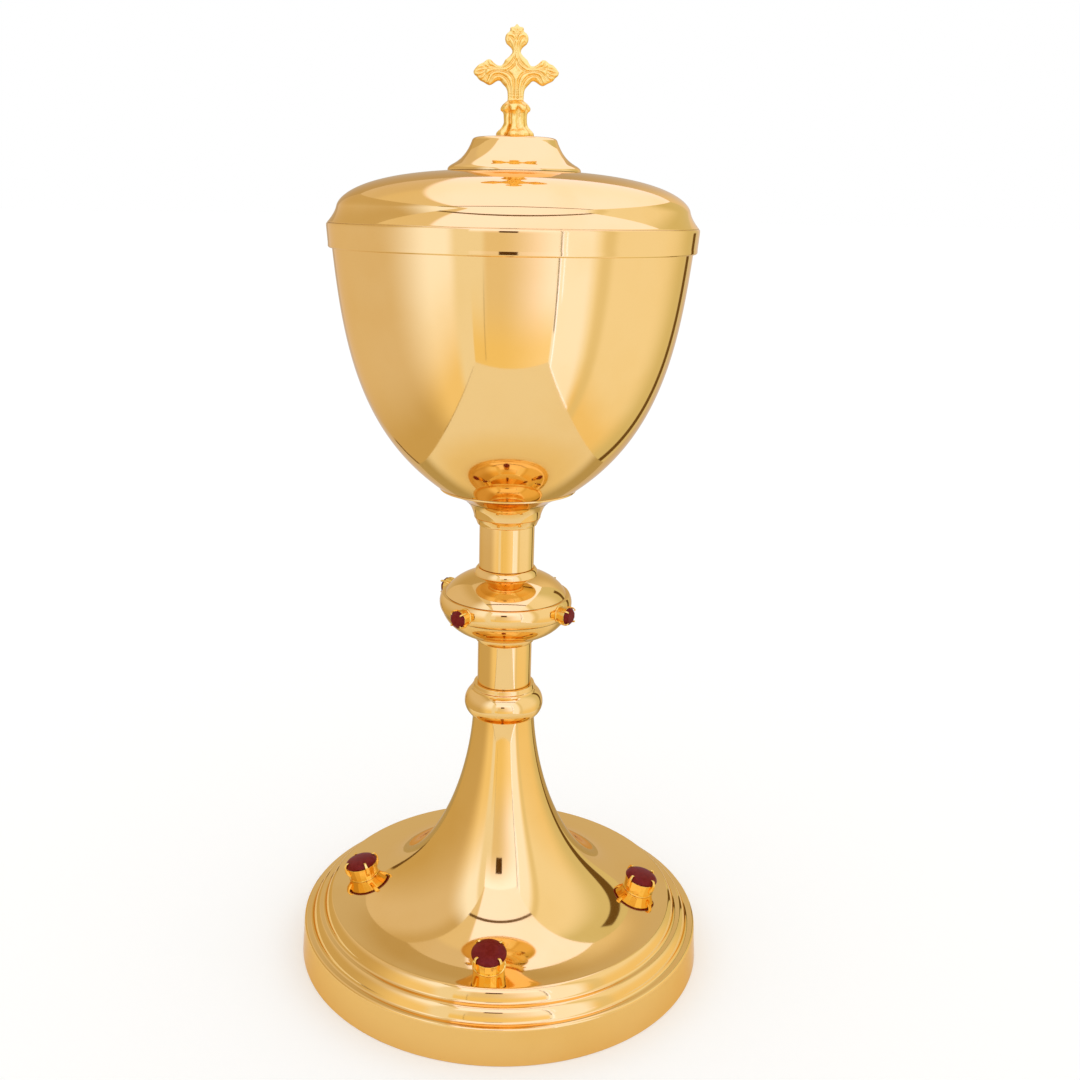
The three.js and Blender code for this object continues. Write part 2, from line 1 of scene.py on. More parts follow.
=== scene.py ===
# %% [markdown]
# A ciborium is a lidded cup on a tall stem. This one is spun and turned from brass, gilded all
# over and polished like a mirror, with red stones in claws and a small cast cross on the lid.
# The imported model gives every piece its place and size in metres. This lesson builds a finer
# copy of each visible piece round that frame, then the finishes, the studio and the camera.

# %% The frame
import math
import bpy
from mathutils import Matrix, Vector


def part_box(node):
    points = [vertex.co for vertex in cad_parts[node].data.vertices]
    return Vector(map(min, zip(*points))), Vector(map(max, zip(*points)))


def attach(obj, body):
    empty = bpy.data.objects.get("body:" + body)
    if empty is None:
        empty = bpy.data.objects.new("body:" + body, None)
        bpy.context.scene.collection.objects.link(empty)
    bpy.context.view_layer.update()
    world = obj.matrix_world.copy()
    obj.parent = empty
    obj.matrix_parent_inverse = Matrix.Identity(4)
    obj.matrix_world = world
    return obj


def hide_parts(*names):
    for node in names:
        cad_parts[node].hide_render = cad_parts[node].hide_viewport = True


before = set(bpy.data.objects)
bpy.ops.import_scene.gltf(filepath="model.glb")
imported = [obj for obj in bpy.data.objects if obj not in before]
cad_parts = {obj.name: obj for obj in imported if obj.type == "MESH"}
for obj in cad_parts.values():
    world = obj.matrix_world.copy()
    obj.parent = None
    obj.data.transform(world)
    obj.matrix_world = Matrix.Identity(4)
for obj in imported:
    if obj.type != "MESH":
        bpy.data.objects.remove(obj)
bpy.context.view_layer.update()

from types import SimpleNamespace

import bpy
import mathutils
import numpy as np
from mathutils import Matrix, Vector

print("nodes in the frame:", len(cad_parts))

# %% [markdown]
# Turned metal is drawn in millimetres, so the outlines below are in millimetres too, and only
# the last step of each piece turns them into Blender's metres. The frame already knows how wide
# and how high each piece is, so most of the numbers are read from it.

# %% Units and sizes from the frame
MM = 0.001


def span(node):
    """Radius, lowest and highest point of a turned CAD node, in millimetres."""
    low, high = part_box(node)
    return high.x / MM, low.z / MM, high.z / MM


foot_radius, foot_base, foot_top = span("foot_shell")
cup_radius, cup_base, cup_top = span("cup_shell")
dome_reach, dome_base, dome_top = span("lid_dome")
print("foot", foot_radius, "cup", cup_radius, "lid", dome_reach, "top", span("cross_finial")[2])

# %% [markdown]
# Every spun or turned piece starts as an outline: half of its section, as points of radius and
# height. A mirror finish shows each fault of a mesh, so corners get a small rounding, as real
# buffed metal has, long runs are split into short ones, and a guard point stands close to each
# corner. The shading then bends only at the corner and stays true on the flats.

# %% Outline helpers
GUARD = 0.12  # from a corner to the first point after it
LONGEST_RUN = 1.2
CORNER_STEPS = 6
CORNER_SHARE = 0.45  # of a run, the most that a rounding may take
LOOP_SHARE = 0.97  # of the distance, what a moved point must keep from the old outline


def arc(centre, radius, start, end, steps=10):
    """Points round an arc, between two angles in degrees from straight outwards."""
    angles = [math.radians(start + (end - start) * i / steps) for i in range(steps + 1)]
    return [(centre[0] + radius * math.cos(a), centre[1] + radius * math.sin(a)) for a in angles]


def curve(steps, *pulls):
    """Points on the smooth curve from the first of three or four pulls to the last."""
    last = len(pulls) - 1
    made = []
    for i in range(steps + 1):
        t = i / steps
        weights = [math.comb(last, k) * t**k * (1 - t) ** (last - k) for k in range(last + 1)]
        made.append(tuple(sum(w * p[axis] for w, p in zip(weights, pulls)) for axis in (0, 1)))
    return made


def beside(points, distance):
    """The same outline, a distance to its left, without the loops of its tight corners."""
    moved = []
    for i, here in enumerate(points):
        before = Vector(points[max(i - 1, 0)])
        after = Vector(points[min(i + 1, len(points) - 1)])
        along = (after - before).normalized()
        moved.append((here[0] - along.y * distance, here[1] + along.x * distance))
    near = LOOP_SHARE * abs(distance)
    return [point for point in moved if all(math.dist(point, other) > near for other in points)]


def rounded(before, corner, after):
    """The short curve that takes the edge off a corner given as (radius, height, rounding)."""
    here = Vector(corner[:2])
    back = Vector(before[:2]) - here
    ahead = Vector(after[:2]) - here
    reach = min(corner[2], CORNER_SHARE * back.length, CORNER_SHARE * ahead.length)
    start = here + back.normalized() * reach
    end = here + ahead.normalized() * reach
    return curve(CORNER_STEPS, start, here, end)


def outline(*corners):
    """An outline through corners, some with a rounding, with its long runs split up."""
    points = []
    for i, corner in enumerate(corners):
        if len(corner) == 3 and 0 < i < len(corners) - 1:
            points += rounded(corners[i - 1], corner, corners[i + 1])
        else:
            points.append(tuple(corner[:2]))
    made = [points[0]]
    for here, there in zip(points, points[1:]):
        step = Vector(there) - Vector(here)
        if step.length < 1e-4:
            continue
        stops = [1.0]
        if step.length > LONGEST_RUN:
            count = math.ceil(step.length / LONGEST_RUN)
            guard = GUARD / step.length
            stops = [guard, *(k / count for k in range(1, count)), 1 - guard, 1.0]
        made += [tuple(Vector(here) + step * stop) for stop in stops]
    return made


def closed(*corners):
    """An outline that ends where it starts."""
    return outline(*corners, corners[0])


print("a corner of 0.3 mm:", len(outline((1, 0), (2, 0, 0.3), (2, 1))), "points")

# %% [markdown]
# On a lathe the metal turns round one axis. Here a tiny plane is merged to one point, and that
# point is pulled along the outline by extruding. The Screw modifier with no rise then turns the
# wire once round, as the Spin operator would, but far faster at this many steps. Merging the
# doubles closes the seam and the poles, and only then are the normals recalculated, so that
# they all face out of the metal.

# %% Spinning a piece
ROUND_STEPS = 192
SMALL_ROUND_STEPS = 64
SMOOTH_ANGLE = math.radians(24)
MERGE = 1e-6


def start_point(place):
    """A new mesh object of one selected vertex, in edit mode."""
    if bpy.context.object and bpy.context.object.mode != "OBJECT":
        bpy.ops.object.mode_set(mode="OBJECT")
    bpy.ops.object.select_all(action="DESELECT")
    bpy.ops.mesh.primitive_plane_add(size=MM, location=(0, 0, 0))
    bpy.ops.object.mode_set(mode="EDIT")
    bpy.ops.mesh.select_all(action="SELECT")
    bpy.ops.mesh.merge(type="CENTER")
    bpy.ops.transform.translate(value=place)
    return bpy.context.object


def draw_wire(points):
    """Extrudes the selected vertex through the points, given in metres."""
    for here, there in zip(points, points[1:]):
        step = Vector(there) - Vector(here)
        bpy.ops.mesh.extrude_vertices_move(TRANSFORM_OT_translate={"value": step})


def select_only(piece):
    bpy.ops.object.select_all(action="DESELECT")
    piece.select_set(True)
    bpy.context.view_layer.objects.active = piece


def close_skin():
    """Merges the doubles of the active mesh, turns its faces outwards and smooths it."""
    bpy.ops.object.mode_set(mode="EDIT")
    bpy.ops.mesh.select_all(action="SELECT")
    bpy.ops.mesh.remove_doubles(threshold=MERGE)
    bpy.ops.mesh.delete_loose()
    bpy.ops.mesh.select_all(action="SELECT")
    bpy.ops.mesh.normals_make_consistent(inside=False)
    bpy.ops.object.mode_set(mode="OBJECT")
    bpy.ops.object.shade_smooth_by_angle(angle=SMOOTH_ANGLE)


def spun(name, points, steps=ROUND_STEPS):
    """A closed solid from an outline in millimetres, turned round the vessel's axis."""
    wire = [(radius * MM, 0, height * MM) for radius, height in points]
    piece = start_point(wire[0])
    draw_wire(wire)
    bpy.ops.object.mode_set(mode="OBJECT")
    turn = piece.modifiers.new("turn", "SCREW")
    turn.steps = steps
    turn.render_steps = steps
    bpy.ops.object.modifier_apply(modifier=turn.name)
    close_skin()
    piece.name = piece.data.name = name
    print(name, len(piece.data.polygons), "faces")
    return piece


# %% [markdown]
# Two shapes aren't turned: the plate of the cross and a claw. Each is an outline in the plane
# that faces the camera or the stone's axis, filled with one face and pulled to its thickness.

# %% Pulling a plate
def pulled_plate(points, thickness):
    """A closed plate from an outline in millimetres, half its thickness to either side."""
    wire = [(x * MM, -thickness / 2 * MM, z * MM) for x, z in points]
    plate = start_point(wire[0])
    draw_wire(wire)
    bpy.ops.mesh.select_all(action="SELECT")
    bpy.ops.mesh.remove_doubles(threshold=MERGE)
    bpy.ops.mesh.select_all(action="SELECT")
    bpy.ops.mesh.edge_face_add()
    pull = (0, thickness * MM, 0)
    bpy.ops.mesh.extrude_region_move(TRANSFORM_OT_translate={"value": pull})
    bpy.ops.mesh.select_all(action="SELECT")
    bpy.ops.mesh.normals_make_consistent(inside=False)
    bpy.ops.object.mode_set(mode="OBJECT")
    return plate


print("flat plates can be pulled")

# %% [markdown]
# A finish is a node tree. Writing it as Python expressions keeps it readable: a Socket stands
# for one value in the tree, and adding or multiplying it places the Math node. Colours and
# vectors have their own methods, because a Math node would turn a colour grey.

# %% Shader maths
class Socket:
    """A value in a node tree, with Python's operators for shader maths."""

    def __init__(self, tree, socket=None):
        self.tree = tree
        self.socket = socket

    def node(self, kind, settings=None, sockets=None, out=0):
        """Adds a node: its settings are set first, then the values or links of its sockets."""
        made = self.tree.nodes.new(kind)
        for key, value in (settings or {}).items():
            if key == "stops":
                ramp = made.color_ramp.elements
                while len(ramp) < len(value):
                    ramp.new(0.5)
                for element, (place, colour) in zip(ramp, value):
                    element.position = place
                    element.color = (*colour, 1)
            else:
                setattr(made, key, value)
        for key, value in (sockets or {}).items():
            if isinstance(value, Socket):
                self.tree.links.new(value.socket, made.inputs[key])
            else:
                made.inputs[key].default_value = value
        return Socket(self.tree, made.outputs[out] if made.outputs else None)

    def maths(self, operation, first, second):
        return self.node("ShaderNodeMath", {"operation": operation}, {0: first, 1: second})

    def __add__(self, other):
        return self.maths("ADD", self, other)

    __radd__ = __add__

    def __mul__(self, other):
        return self.maths("MULTIPLY", self, other)

    __rmul__ = __mul__

    def __sub__(self, other):
        return self.maths("SUBTRACT", self, other)

    def __rsub__(self, other):
        return self.maths("SUBTRACT", other, self)

    def __pow__(self, other):
        return self.maths("POWER", self, other)

    def ramp(self, low, high):
        """0 below one value and 1 above the other, with a smooth change between them."""
        settings = {"interpolation_type": "SMOOTHSTEP"}
        return self.node("ShaderNodeMapRange", settings, {0: self, 1: low, 2: high})

    def part(self, name):
        """One of the three parts of a vector."""
        split = self.node("ShaderNodeSeparateXYZ", {}, {0: self})
        return Socket(self.tree, split.socket.node.outputs[name])

    def blend(self, first, second):
        """A colour between two others, with this value as the share of the second."""
        settings = {"data_type": "RGBA", "clamp_factor": True}
        colours = {0: self}
        for key, colour in ((6, first), (7, second)):
            colours[key] = colour if isinstance(colour, Socket) else (*colour, 1)
        return self.node("ShaderNodeMix", settings, colours, out=2)


print("shader maths ready")

# %% [markdown]
# Textures here read Object coordinates. A finished piece's object sits at the origin, so these
# are the vessel's own coordinates and every piece shares them. What a lathe or a buffing wheel
# leaves runs round the axis, so a second set of coordinates holds the radius and the height.

# %% Coordinates for the finishes
def new_finish(name):
    """A material with an empty tree, as a Socket to start from."""
    material = bpy.data.materials.new(name)
    material.use_nodes = True
    material.node_tree.nodes.clear()
    return material, Socket(material.node_tree)


def object_place(tree):
    """Object coordinates in millimetres."""
    place = tree.node("ShaderNodeTexCoord", {}, {}, out="Object")
    scaled = {0: place, 3: 1 / MM}
    return tree.node("ShaderNodeVectorMath", {"operation": "SCALE"}, scaled)


def turned_place(tree, place):
    """Radius and height as a flat vector, so that a pattern on it runs in rings."""
    x, y, z = (place.part(axis) for axis in "XYZ")
    radius = (x * x + y * y) ** 0.5
    return tree.node("ShaderNodeCombineXYZ", {}, {"X": radius, "Y": z})


def noise(tree, place, scale, detail=2.0, roughness=0.5):
    sockets = {"Vector": place, "Scale": scale, "Detail": detail, "Roughness": roughness}
    return tree.node("ShaderNodeTexNoise", {"noise_dimensions": "3D"}, sockets)


def bump(tree, height, depth, strength=1.0, **below):
    """A normal that rises and sinks with a height, over a depth in metres."""
    sockets = {"Strength": strength, "Distance": depth, "Height": height, **below}
    return tree.node("ShaderNodeBump", {}, sockets)


def shader(tree, material, constants, colour, roughness, normal):
    """The Principled shader and the output. Constants go on the shader's own sockets."""
    varying = {"Base Color": colour, "Roughness": roughness, "Normal": normal}
    made = tree.node("ShaderNodeBsdfPrincipled", {}, {**constants, **varying})
    tree.node("ShaderNodeOutputMaterial", {}, {"Surface": made})
    print("made", material.name)
    return material


# %% [markdown]
# Gilt over polished brass is nearly a mirror, with a warm colour that deepens where metal
# reflects metal. A perfect mirror looks false, so three faint things are laid on it: the soft
# cloudiness that handling leaves, fine rings from the buffing wheel, and a slow waviness of the
# spun sheet that makes the edges of reflections wander a little.

# %% Polished gilt
GILT = (0.92, 0.60, 0.195)
GILT_DEEP = (0.90, 0.57, 0.17)
GILT_EDGE = (0.97, 0.84, 0.60)  # how the metal keeps its colour where it is seen edge on
GILT_METAL = {"Metallic": 1.0, "Specular Tint": (*GILT_EDGE, 1)}
GILT_ROUGHNESS = 0.045
HANDLING = 0.05  # how much rougher a handled patch is
RING_SCALE, CLOUD_SCALE, PATCH_SCALE, WAVE_SCALE = 2.2, 0.045, 0.6, 0.05  # per millimetre
WAVE_DEPTH = 0.010 * MM
RING_DEPTH = 0.0006 * MM


def polished_gilt():
    material, tree = new_finish("polished_gilt")
    place = object_place(tree)
    rings = noise(tree, turned_place(tree, place), RING_SCALE, 3.0)
    cloud = noise(tree, place, CLOUD_SCALE, 3.0).ramp(0.45, 0.75)
    colour = cloud.blend(GILT, GILT_DEEP)
    handled = cloud * HANDLING * noise(tree, place, PATCH_SCALE, 2.0)
    rough = GILT_ROUGHNESS + handled + rings * 0.012
    wavy = bump(tree, noise(tree, place, WAVE_SCALE, 1.0), WAVE_DEPTH)
    normal = bump(tree, rings, RING_DEPTH, Normal=wavy)
    return shader(tree, material, GILT_METAL, colour, rough, normal)


gilt = polished_gilt()

# %% [markdown]
# Inside the foot the metal isn't buffed. The spinning tool leaves rings there, and the gilding
# stays satin. The same tree with stronger rings and more roughness gives that surface.

# %% Satin gilt
SATIN_DEEP = (0.90, 0.58, 0.18)
SATIN_ROUGHNESS = 0.22
SATIN_RING_DEPTH = 0.012 * MM


def satin_gilt():
    material, tree = new_finish("satin_gilt")
    place = object_place(tree)
    rings = noise(tree, turned_place(tree, place), 1.4, 4.0, 0.6)
    cloud = noise(tree, place, 0.08, 3.0).ramp(0.4, 0.7)
    colour = cloud.blend(GILT, SATIN_DEEP)
    rough = SATIN_ROUGHNESS + rings * 0.1 + cloud * 0.03
    return shader(tree, material, GILT_METAL, colour, rough, bump(tree, rings, SATIN_RING_DEPTH))


satin = satin_gilt()

# %% [markdown]
# A cast piece keeps a little of the mould's sand in its skin. It is gilded like the rest, but only its
# high places are burnished, so it is rougher, most of all in its hollows. The hollows are also painted
# a deep orange, as painted shade. The mesh carries an attribute, hollow, that is 1 in its grooves, and
# the colour reads it as painted shade.

# %% Cast gilt
CAST_GILT = (0.95, 0.63, 0.145)
# the colour painted into the grooves and flutes as painted shade
CAST_HOLLOW_SHADE = (0.84, 0.48, 0.085)
SAND_SCALE = 0.9
SAND_DEPTH = 0.05 * MM


def cast_gilt(name, roughness):
    material, tree = new_finish(name)
    place = object_place(tree)
    hollow = tree.node("ShaderNodeAttribute", {"attribute_name": "hollow"}, {}, out="Fac")
    sand = noise(tree, place, SAND_SCALE, 3.0, 0.6)
    patch = noise(tree, place, 0.35, 2.0).ramp(0.45, 0.7)
    # painted shade in the grooves and flutes, mixed with random patches; it also makes them rougher
    groove_shade_and_patch = (hollow + patch * 0.15).ramp(0.0, 1.0)
    colour = groove_shade_and_patch.blend(CAST_GILT, CAST_HOLLOW_SHADE)
    rough = roughness + groove_shade_and_patch * 0.18 + sand * 0.08
    return shader(tree, material, GILT_METAL, colour, rough, bump(tree, sand, SAND_DEPTH, 0.8))


cast = cast_gilt("cast_gilt", 0.24)
claw_gilt = cast_gilt("claw_gilt", 0.05)

# %% [markdown]
# The stones are dark red paste. They are too deep in colour to look into, so the body is opaque.
# Wear has dulled their polish: the highlight is weak and soft, and the red is a little uneven.

# %% Ruby stone
RUBY = (0.155, 0.006, 0.003)
RUBY_LIGHT = (0.215, 0.014, 0.008)
RUBY_ROUGHNESS = 0.3
DULL_POLISH = {"Specular IOR Level": 0.1, "IOR": 1.5}
FINE_DEPTH = 0.02 * MM


def ruby_stone():
    material, tree = new_finish("ruby_stone")
    place = object_place(tree)
    mottle = noise(tree, place, 0.9, 3.0, 0.6).ramp(0.35, 0.75)
    streak = noise(tree, place, 2.5, 2.0).ramp(0.5, 0.8)
    colour = (mottle * 0.75 + streak * 0.25).blend(RUBY, RUBY_LIGHT)
    rough = RUBY_ROUGHNESS + mottle * 0.15 + streak * 0.1
    normal = bump(tree, mottle, FINE_DEPTH, 0.4)
    return shader(tree, material, DULL_POLISH, colour, rough, normal)


ruby = ruby_stone()

# %% [markdown]
# The rod, the stud and their nuts hold the vessel together from inside. They show only from
# below and when the lid is off, as plain turned steel: grey, with fine rings and a dull sheen.

# %% Turned steel
STEEL = (0.56, 0.57, 0.58)
STEEL_DARK = (0.38, 0.38, 0.39)
STEEL_ROUGHNESS = 0.26


def turned_steel():
    material, tree = new_finish("turned_steel")
    place = object_place(tree)
    rings = noise(tree, turned_place(tree, place), 3.0, 3.0, 0.6)
    stain = noise(tree, place, 0.3, 3.0).ramp(0.5, 0.8)
    colour = stain.blend(STEEL, STEEL_DARK)
    rough = STEEL_ROUGHNESS + rings * 0.15 + stain * 0.1
    normal = bump(tree, rings, FINE_DEPTH, 0.6)
    return shader(tree, material, {"Metallic": 1.0}, colour, rough, normal)


steel = turned_steel()

# %% [markdown]
# Each finished piece gets its material and is attached to the body that it moves with, and the CAD node
# that it stands for is hidden. Most pieces are spun and polished, so one function spins an outline and
# hands it over.

# %% Handing a piece over
def finish_piece(piece, material, body, node):
    piece.data.materials.clear()
    piece.data.materials.append(material)
    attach(piece, body)
    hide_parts(node)
    return piece


def gilt_piece(node, points, name=None):
    """A polished piece spun from an outline, to stand for a CAD node."""
    body = "lid" if node.startswith("lid") else "vessel"
    piece = spun(name or f"{node}_fine", points)
    return finish_piece(piece, gilt, body, node)


print("polished pieces can be made")

# %% [markdown]
# The foot is one sheet of brass, spun over a former: a narrow neck that flares like a trumpet,
# a dish, two steps with rounded fronts, and an upright wall whose edge is rolled in. Its outline
# is drawn from the hem up, and the inside is the same line one sheet thickness in. The front of a
# step bends tightly at its top and less and less below, and a small hollow meets the shelf under
# it. The flat shelf shows a brown image of the neck, and the slow front shows the pale room.

# %% Foot
SHEET = 1.0
WALL_BATTER = 0.8
WALL_HEIGHT = 11.1
SHELF = 2.67
STEP_PITCH = 3.85
STEP_DROP = 3.4
STEP_LEAN = 17  # degrees, of the normal at the foot of a front
STEP_BENDS = ((6.1, 17, 37), (2.8, 37, 60), (0.9, 60, 90))  # radius, and the normal's two angles
COVE = 0.92
DISH_LAND = 0.4
HEM_WIDTH = 1.9
HEM_HEIGHT = 2.2
NECK_RADIUS = 9.2
NECK_PULL, NECK_SPREAD = 14.0, 0.4
DISH_PULL, DISH_DIP = 34.4, 0.75
LONG_CURVE = 110  # steps of the two longest curves
ROD_BORE = 3.25

wall_top_radius = foot_radius - WALL_BATTER
dish_height = WALL_HEIGHT + 2 * STEP_DROP


def step_front(radius, height):
    """The front of one step from below up, where it meets the shelf below it."""
    points = arc((radius + COVE, height + COVE), COVE, 270, 180 + STEP_LEAN, 8)
    for bend, first, last in STEP_BENDS:
        turn = math.radians(first)
        end = points[-1]
        centre = (end[0] - bend * math.cos(turn), end[1] - bend * math.sin(turn))
        points += arc(centre, bend, first, last, 9)[1:]
    return points


moulding = [
    *step_front(wall_top_radius - SHELF, WALL_HEIGHT),
    *step_front(wall_top_radius - SHELF - STEP_PITCH, WALL_HEIGHT + STEP_DROP),
]
dish_edge = moulding[-1][0] - DISH_LAND
flare = curve(
    LONG_CURVE,
    (dish_edge, dish_height),
    (dish_edge - DISH_PULL, dish_height - DISH_DIP),
    (NECK_RADIUS + NECK_SPREAD, foot_top - NECK_PULL),
    (NECK_RADIUS, foot_top),
)
hem_radius = foot_radius - HEM_WIDTH
inside = beside([*moulding, *flare], SHEET)
inside = [point for point in inside if point[1] < foot_top - 1.6 * SHEET]
foot_outline = closed(
    (hem_radius, HEM_HEIGHT, 0.8),
    (hem_radius, foot_base, 0.7),
    (foot_radius, foot_base, 0.35),
    (wall_top_radius, WALL_HEIGHT, 0.8),
    *moulding,
    *flare,
    (ROD_BORE, foot_top),
    (ROD_BORE, foot_top - SHEET),
    (NECK_RADIUS - SHEET, foot_top - SHEET, 0.5),
    *reversed(inside),
    (wall_top_radius - SHEET, WALL_HEIGHT - SHEET, 0.4),
    (foot_radius - 1.15 * SHEET, HEM_HEIGHT, 0.2),
)
foot = gilt_piece("foot_shell", foot_outline, "foot")

# %% [markdown]
# The buffing wheel never reached inside the foot. A material is chosen face by face: seen from
# the sheet's inner side the normals point in and down, so those faces get the satin finish as
# the piece's second material. On the cup, whose inside looks up, the height counts the other way.

# %% The inner side of a sheet
INNER_TURN = -0.05  # a face that turns away further than this is an inner one


def satin_inside(piece, upward=1):
    """Gives the satin finish to the faces on the inner side of a spun sheet."""
    piece.data.materials.append(satin)
    count = 0
    for face in piece.data.polygons:
        outward = Vector((face.center.x, face.center.y, 0)).normalized()
        if face.normal.dot(outward) + upward * face.normal.z < INNER_TURN:
            face.material_index = 1
            count += 1
    print(piece.name, "inner faces:", count)


satin_inside(foot)

# %% [markdown]
# The stem is a row of turned pieces threaded on the tie rod. Above the foot's neck comes a ring
# with a round bead, then a plain tube. Each is a short outline of its own, because the fine dark
# line where two pieces meet is part of how a stem looks.

# %% Ring and tubes
RING_BULGE = 3.75
RING_BEAD_HEIGHT = 7.6
RING_BEAD_ROUNDING = 5.0
RING_BEAD_END = 54.0  # degrees from straight outwards
RING_LIP = 0.6
RING_TOP_STEP = 1.0
TUBE_WALL = 1.0
TUBE_EDGE = 0.15

tube_radius = span("lower_stem_tube")[0]
_, ring_base, ring_top = span("stem_ring")


def ring_outline():
    half = RING_BEAD_HEIGHT / 2
    start = math.degrees(math.asin(half / RING_BEAD_ROUNDING))
    middle = (tube_radius + RING_BULGE - RING_BEAD_ROUNDING, ring_base + half)
    bead = arc(middle, RING_BEAD_ROUNDING, -start, RING_BEAD_END, 36)
    lip = bead[-1][0] - 0.05
    return closed(
        (ROD_BORE, ring_base),
        *bead,
        (lip, bead[-1][1] + RING_LIP, 0.2),
        (tube_radius + 1.2 * RING_TOP_STEP, bead[-1][1] + 1.25 * RING_LIP, 0.2),
        (tube_radius + RING_TOP_STEP, ring_top, 0.25),
        (ROD_BORE, ring_top),
    )


def tube_outline(base, top):
    inner = tube_radius - TUBE_WALL
    return closed(
        (inner, base),
        (tube_radius, base, TUBE_EDGE),
        (tube_radius, top, TUBE_EDGE),
        (inner, top),
    )


gilt_piece("stem_ring", ring_outline())
for node in ("lower_stem_tube", "upper_stem_tube"):
    gilt_piece(node, tube_outline(*span(node)[1:]))

# %% [markdown]
# The knop is where the hand holds the vessel. Two shallow bowls stand edge to edge on a narrow
# band, each with a small rounded step where its tube begins. The bowls share one function, and
# the direction says which way up it goes.

# %% Knop
KNOP_STEP = 1.35
KNOP_STEP_HEIGHT = 1.95
KNOP_SHOULDER = 1.9
KNOP_WALL = 1.0
BAND_WALL = 1.2

band_reach, band_base, band_top = span("knop_band")
BAND_BULGE = 0.8


def knop_half(node, step_end, edge_height, direction, belly, inset):
    """One bowl: how far its side swells out, and how far its edge stays inside the band."""
    step = tube_radius + KNOP_STEP
    step_start = step_end - direction * KNOP_STEP_HEIGHT
    edge = (span(node)[0] - inset, edge_height)
    turn = (edge[0] - belly, step_start - direction * KNOP_SHOULDER)
    side = curve(48, (step + 0.05, step_start), turn, edge)
    inner = beside(side, -direction * KNOP_WALL)
    inner = [point for point in inner if step < point[0] < edge[0] - KNOP_WALL]
    lip = curve(
        14,
        (tube_radius + 0.45, step_end),
        (step - 0.3, step_end - direction * 0.3 * KNOP_STEP_HEIGHT),
        (step - 0.05, step_end - direction * 0.65 * KNOP_STEP_HEIGHT),
        (step, step_start + direction * 0.05),
    )
    points = closed(
        (ROD_BORE, step_end),
        *lip,
        *side,
        (edge[0] - KNOP_WALL, edge_height),
        *reversed(inner),
        (ROD_BORE, step_start - direction * KNOP_WALL),
    )
    gilt_piece(node, points)


_, knop_base, lower_edge = span("knop_lower_half")
_, upper_edge, knop_top = span("knop_upper_half")
knop_half("knop_lower_half", knop_base, lower_edge, -1, belly=2.0, inset=0.2)
knop_half("knop_upper_half", knop_top, upper_edge, 1, belly=2.1, inset=0.5)


def band_outline():
    half = (band_top - band_base) / 2
    rounding = (half**2 + BAND_BULGE**2) / (2 * BAND_BULGE)
    reach = math.degrees(math.asin(half / rounding))
    middle = (band_reach - rounding, band_base + half)
    inner = band_reach - BAND_BULGE - BAND_WALL
    edges = arc(middle, rounding, -reach, reach, 30)
    return closed(
        (inner, band_base),
        (*edges[0], 0.2),
        *edges[2:-2],
        (*edges[-1], 0.2),
        (inner, band_top),
    )


band = gilt_piece("knop_band", band_outline())

# %% [markdown]
# Under the cup a small collar carries a thin disc, which widens in a hollow curve to the cup's
# seam. The collar has a bead, then a crease, then a flare, all turned from one piece.

# %% Collar and disc
collar_reach, collar_base, collar_top = span("cup_collar")
disc_reach, disc_base, disc_top = span("cup_base_disc")
COLLAR_HEIGHT = 6.9
SPIGOT_RADIUS = 6.0
DISC_RIM = 0.5

CUP_SEAM_RADIUS = 19.8
CUP_FLOOR_DIP = 1.5
GAP = 0.12  # between the disc and the cup's hidden floor

rod_reach = span("tie_rod")[0] + 0.05
rod_hole_top = span("tie_rod")[2] + 1
seam = cup_base + CUP_FLOOR_DIP
cup_floor = curve(
    16,
    (0, cup_base),
    (0.5 * CUP_SEAM_RADIUS, cup_base),
    (0.8 * CUP_SEAM_RADIUS, cup_base + 0.4 * CUP_FLOOR_DIP),
    (CUP_SEAM_RADIUS, seam),
)
flare_top = collar_base + COLLAR_HEIGHT
collar_flare = curve(
    28,
    (tube_radius + 1.6, collar_base + 2.35),
    (tube_radius + 2.0, collar_base + 4.3),
    (collar_reach - 1.2, flare_top - 0.9),
    (collar_reach, flare_top),
)
collar_bead = curve(
    12,
    (tube_radius + 0.7, collar_base + 0.25),
    (tube_radius + 1.0, collar_base + 1.2),
    (tube_radius + 1.62, collar_base + 2.2),
)
collar_outline = closed(
    (rod_reach, collar_base),
    (tube_radius + 0.55, collar_base, 0.15),
    *collar_bead,
    (tube_radius + 1.45, collar_base + 2.3),
    *collar_flare,
    (SPIGOT_RADIUS, flare_top),
    (SPIGOT_RADIUS, collar_top),
    (0, collar_top),
    (0, rod_hole_top),
    (rod_reach, rod_hole_top),
)
gilt_piece("cup_collar", collar_outline)

disc_hollow = curve(
    24,
    (collar_reach, disc_base),
    (collar_reach + 2.05, disc_base + 1.64),
    (disc_reach, disc_top - DISC_RIM),
)
spigot_hole = SPIGOT_RADIUS + 0.05
disc_bed = [
    (radius, height - GAP)
    for radius, height in reversed(cup_floor)
    if spigot_hole + 0.5 < radius < disc_reach - 0.5
]
disc_outline = closed(
    (spigot_hole, disc_base),
    *disc_hollow[:-1],
    (*disc_hollow[-1], 0.12),
    (disc_reach, disc_top, 0.1),
    *disc_bed,
    (spigot_hole, disc_bed[-1][1]),
)
gilt_piece("cup_base_disc", disc_outline)

# %% [markdown]
# The cup is the largest mirror on the vessel, so its outline has the most points. It leaves the
# seam at a slope, swells, and turns upright just below the mouth. Its lip is a half round.

# %% Cup
CUP_STRAIGHT = 4.2
FLOOR_CORNER = (17.2, 0.4)  # out from the axis, and up from the inner floor
CUP_SIDE_ANGLE = 36.15
CUP_SIDE_PULL = 28.1
CUP_SHOULDER_LEAN = 5.55
CUP_SHOULDER_PULL = 26.35


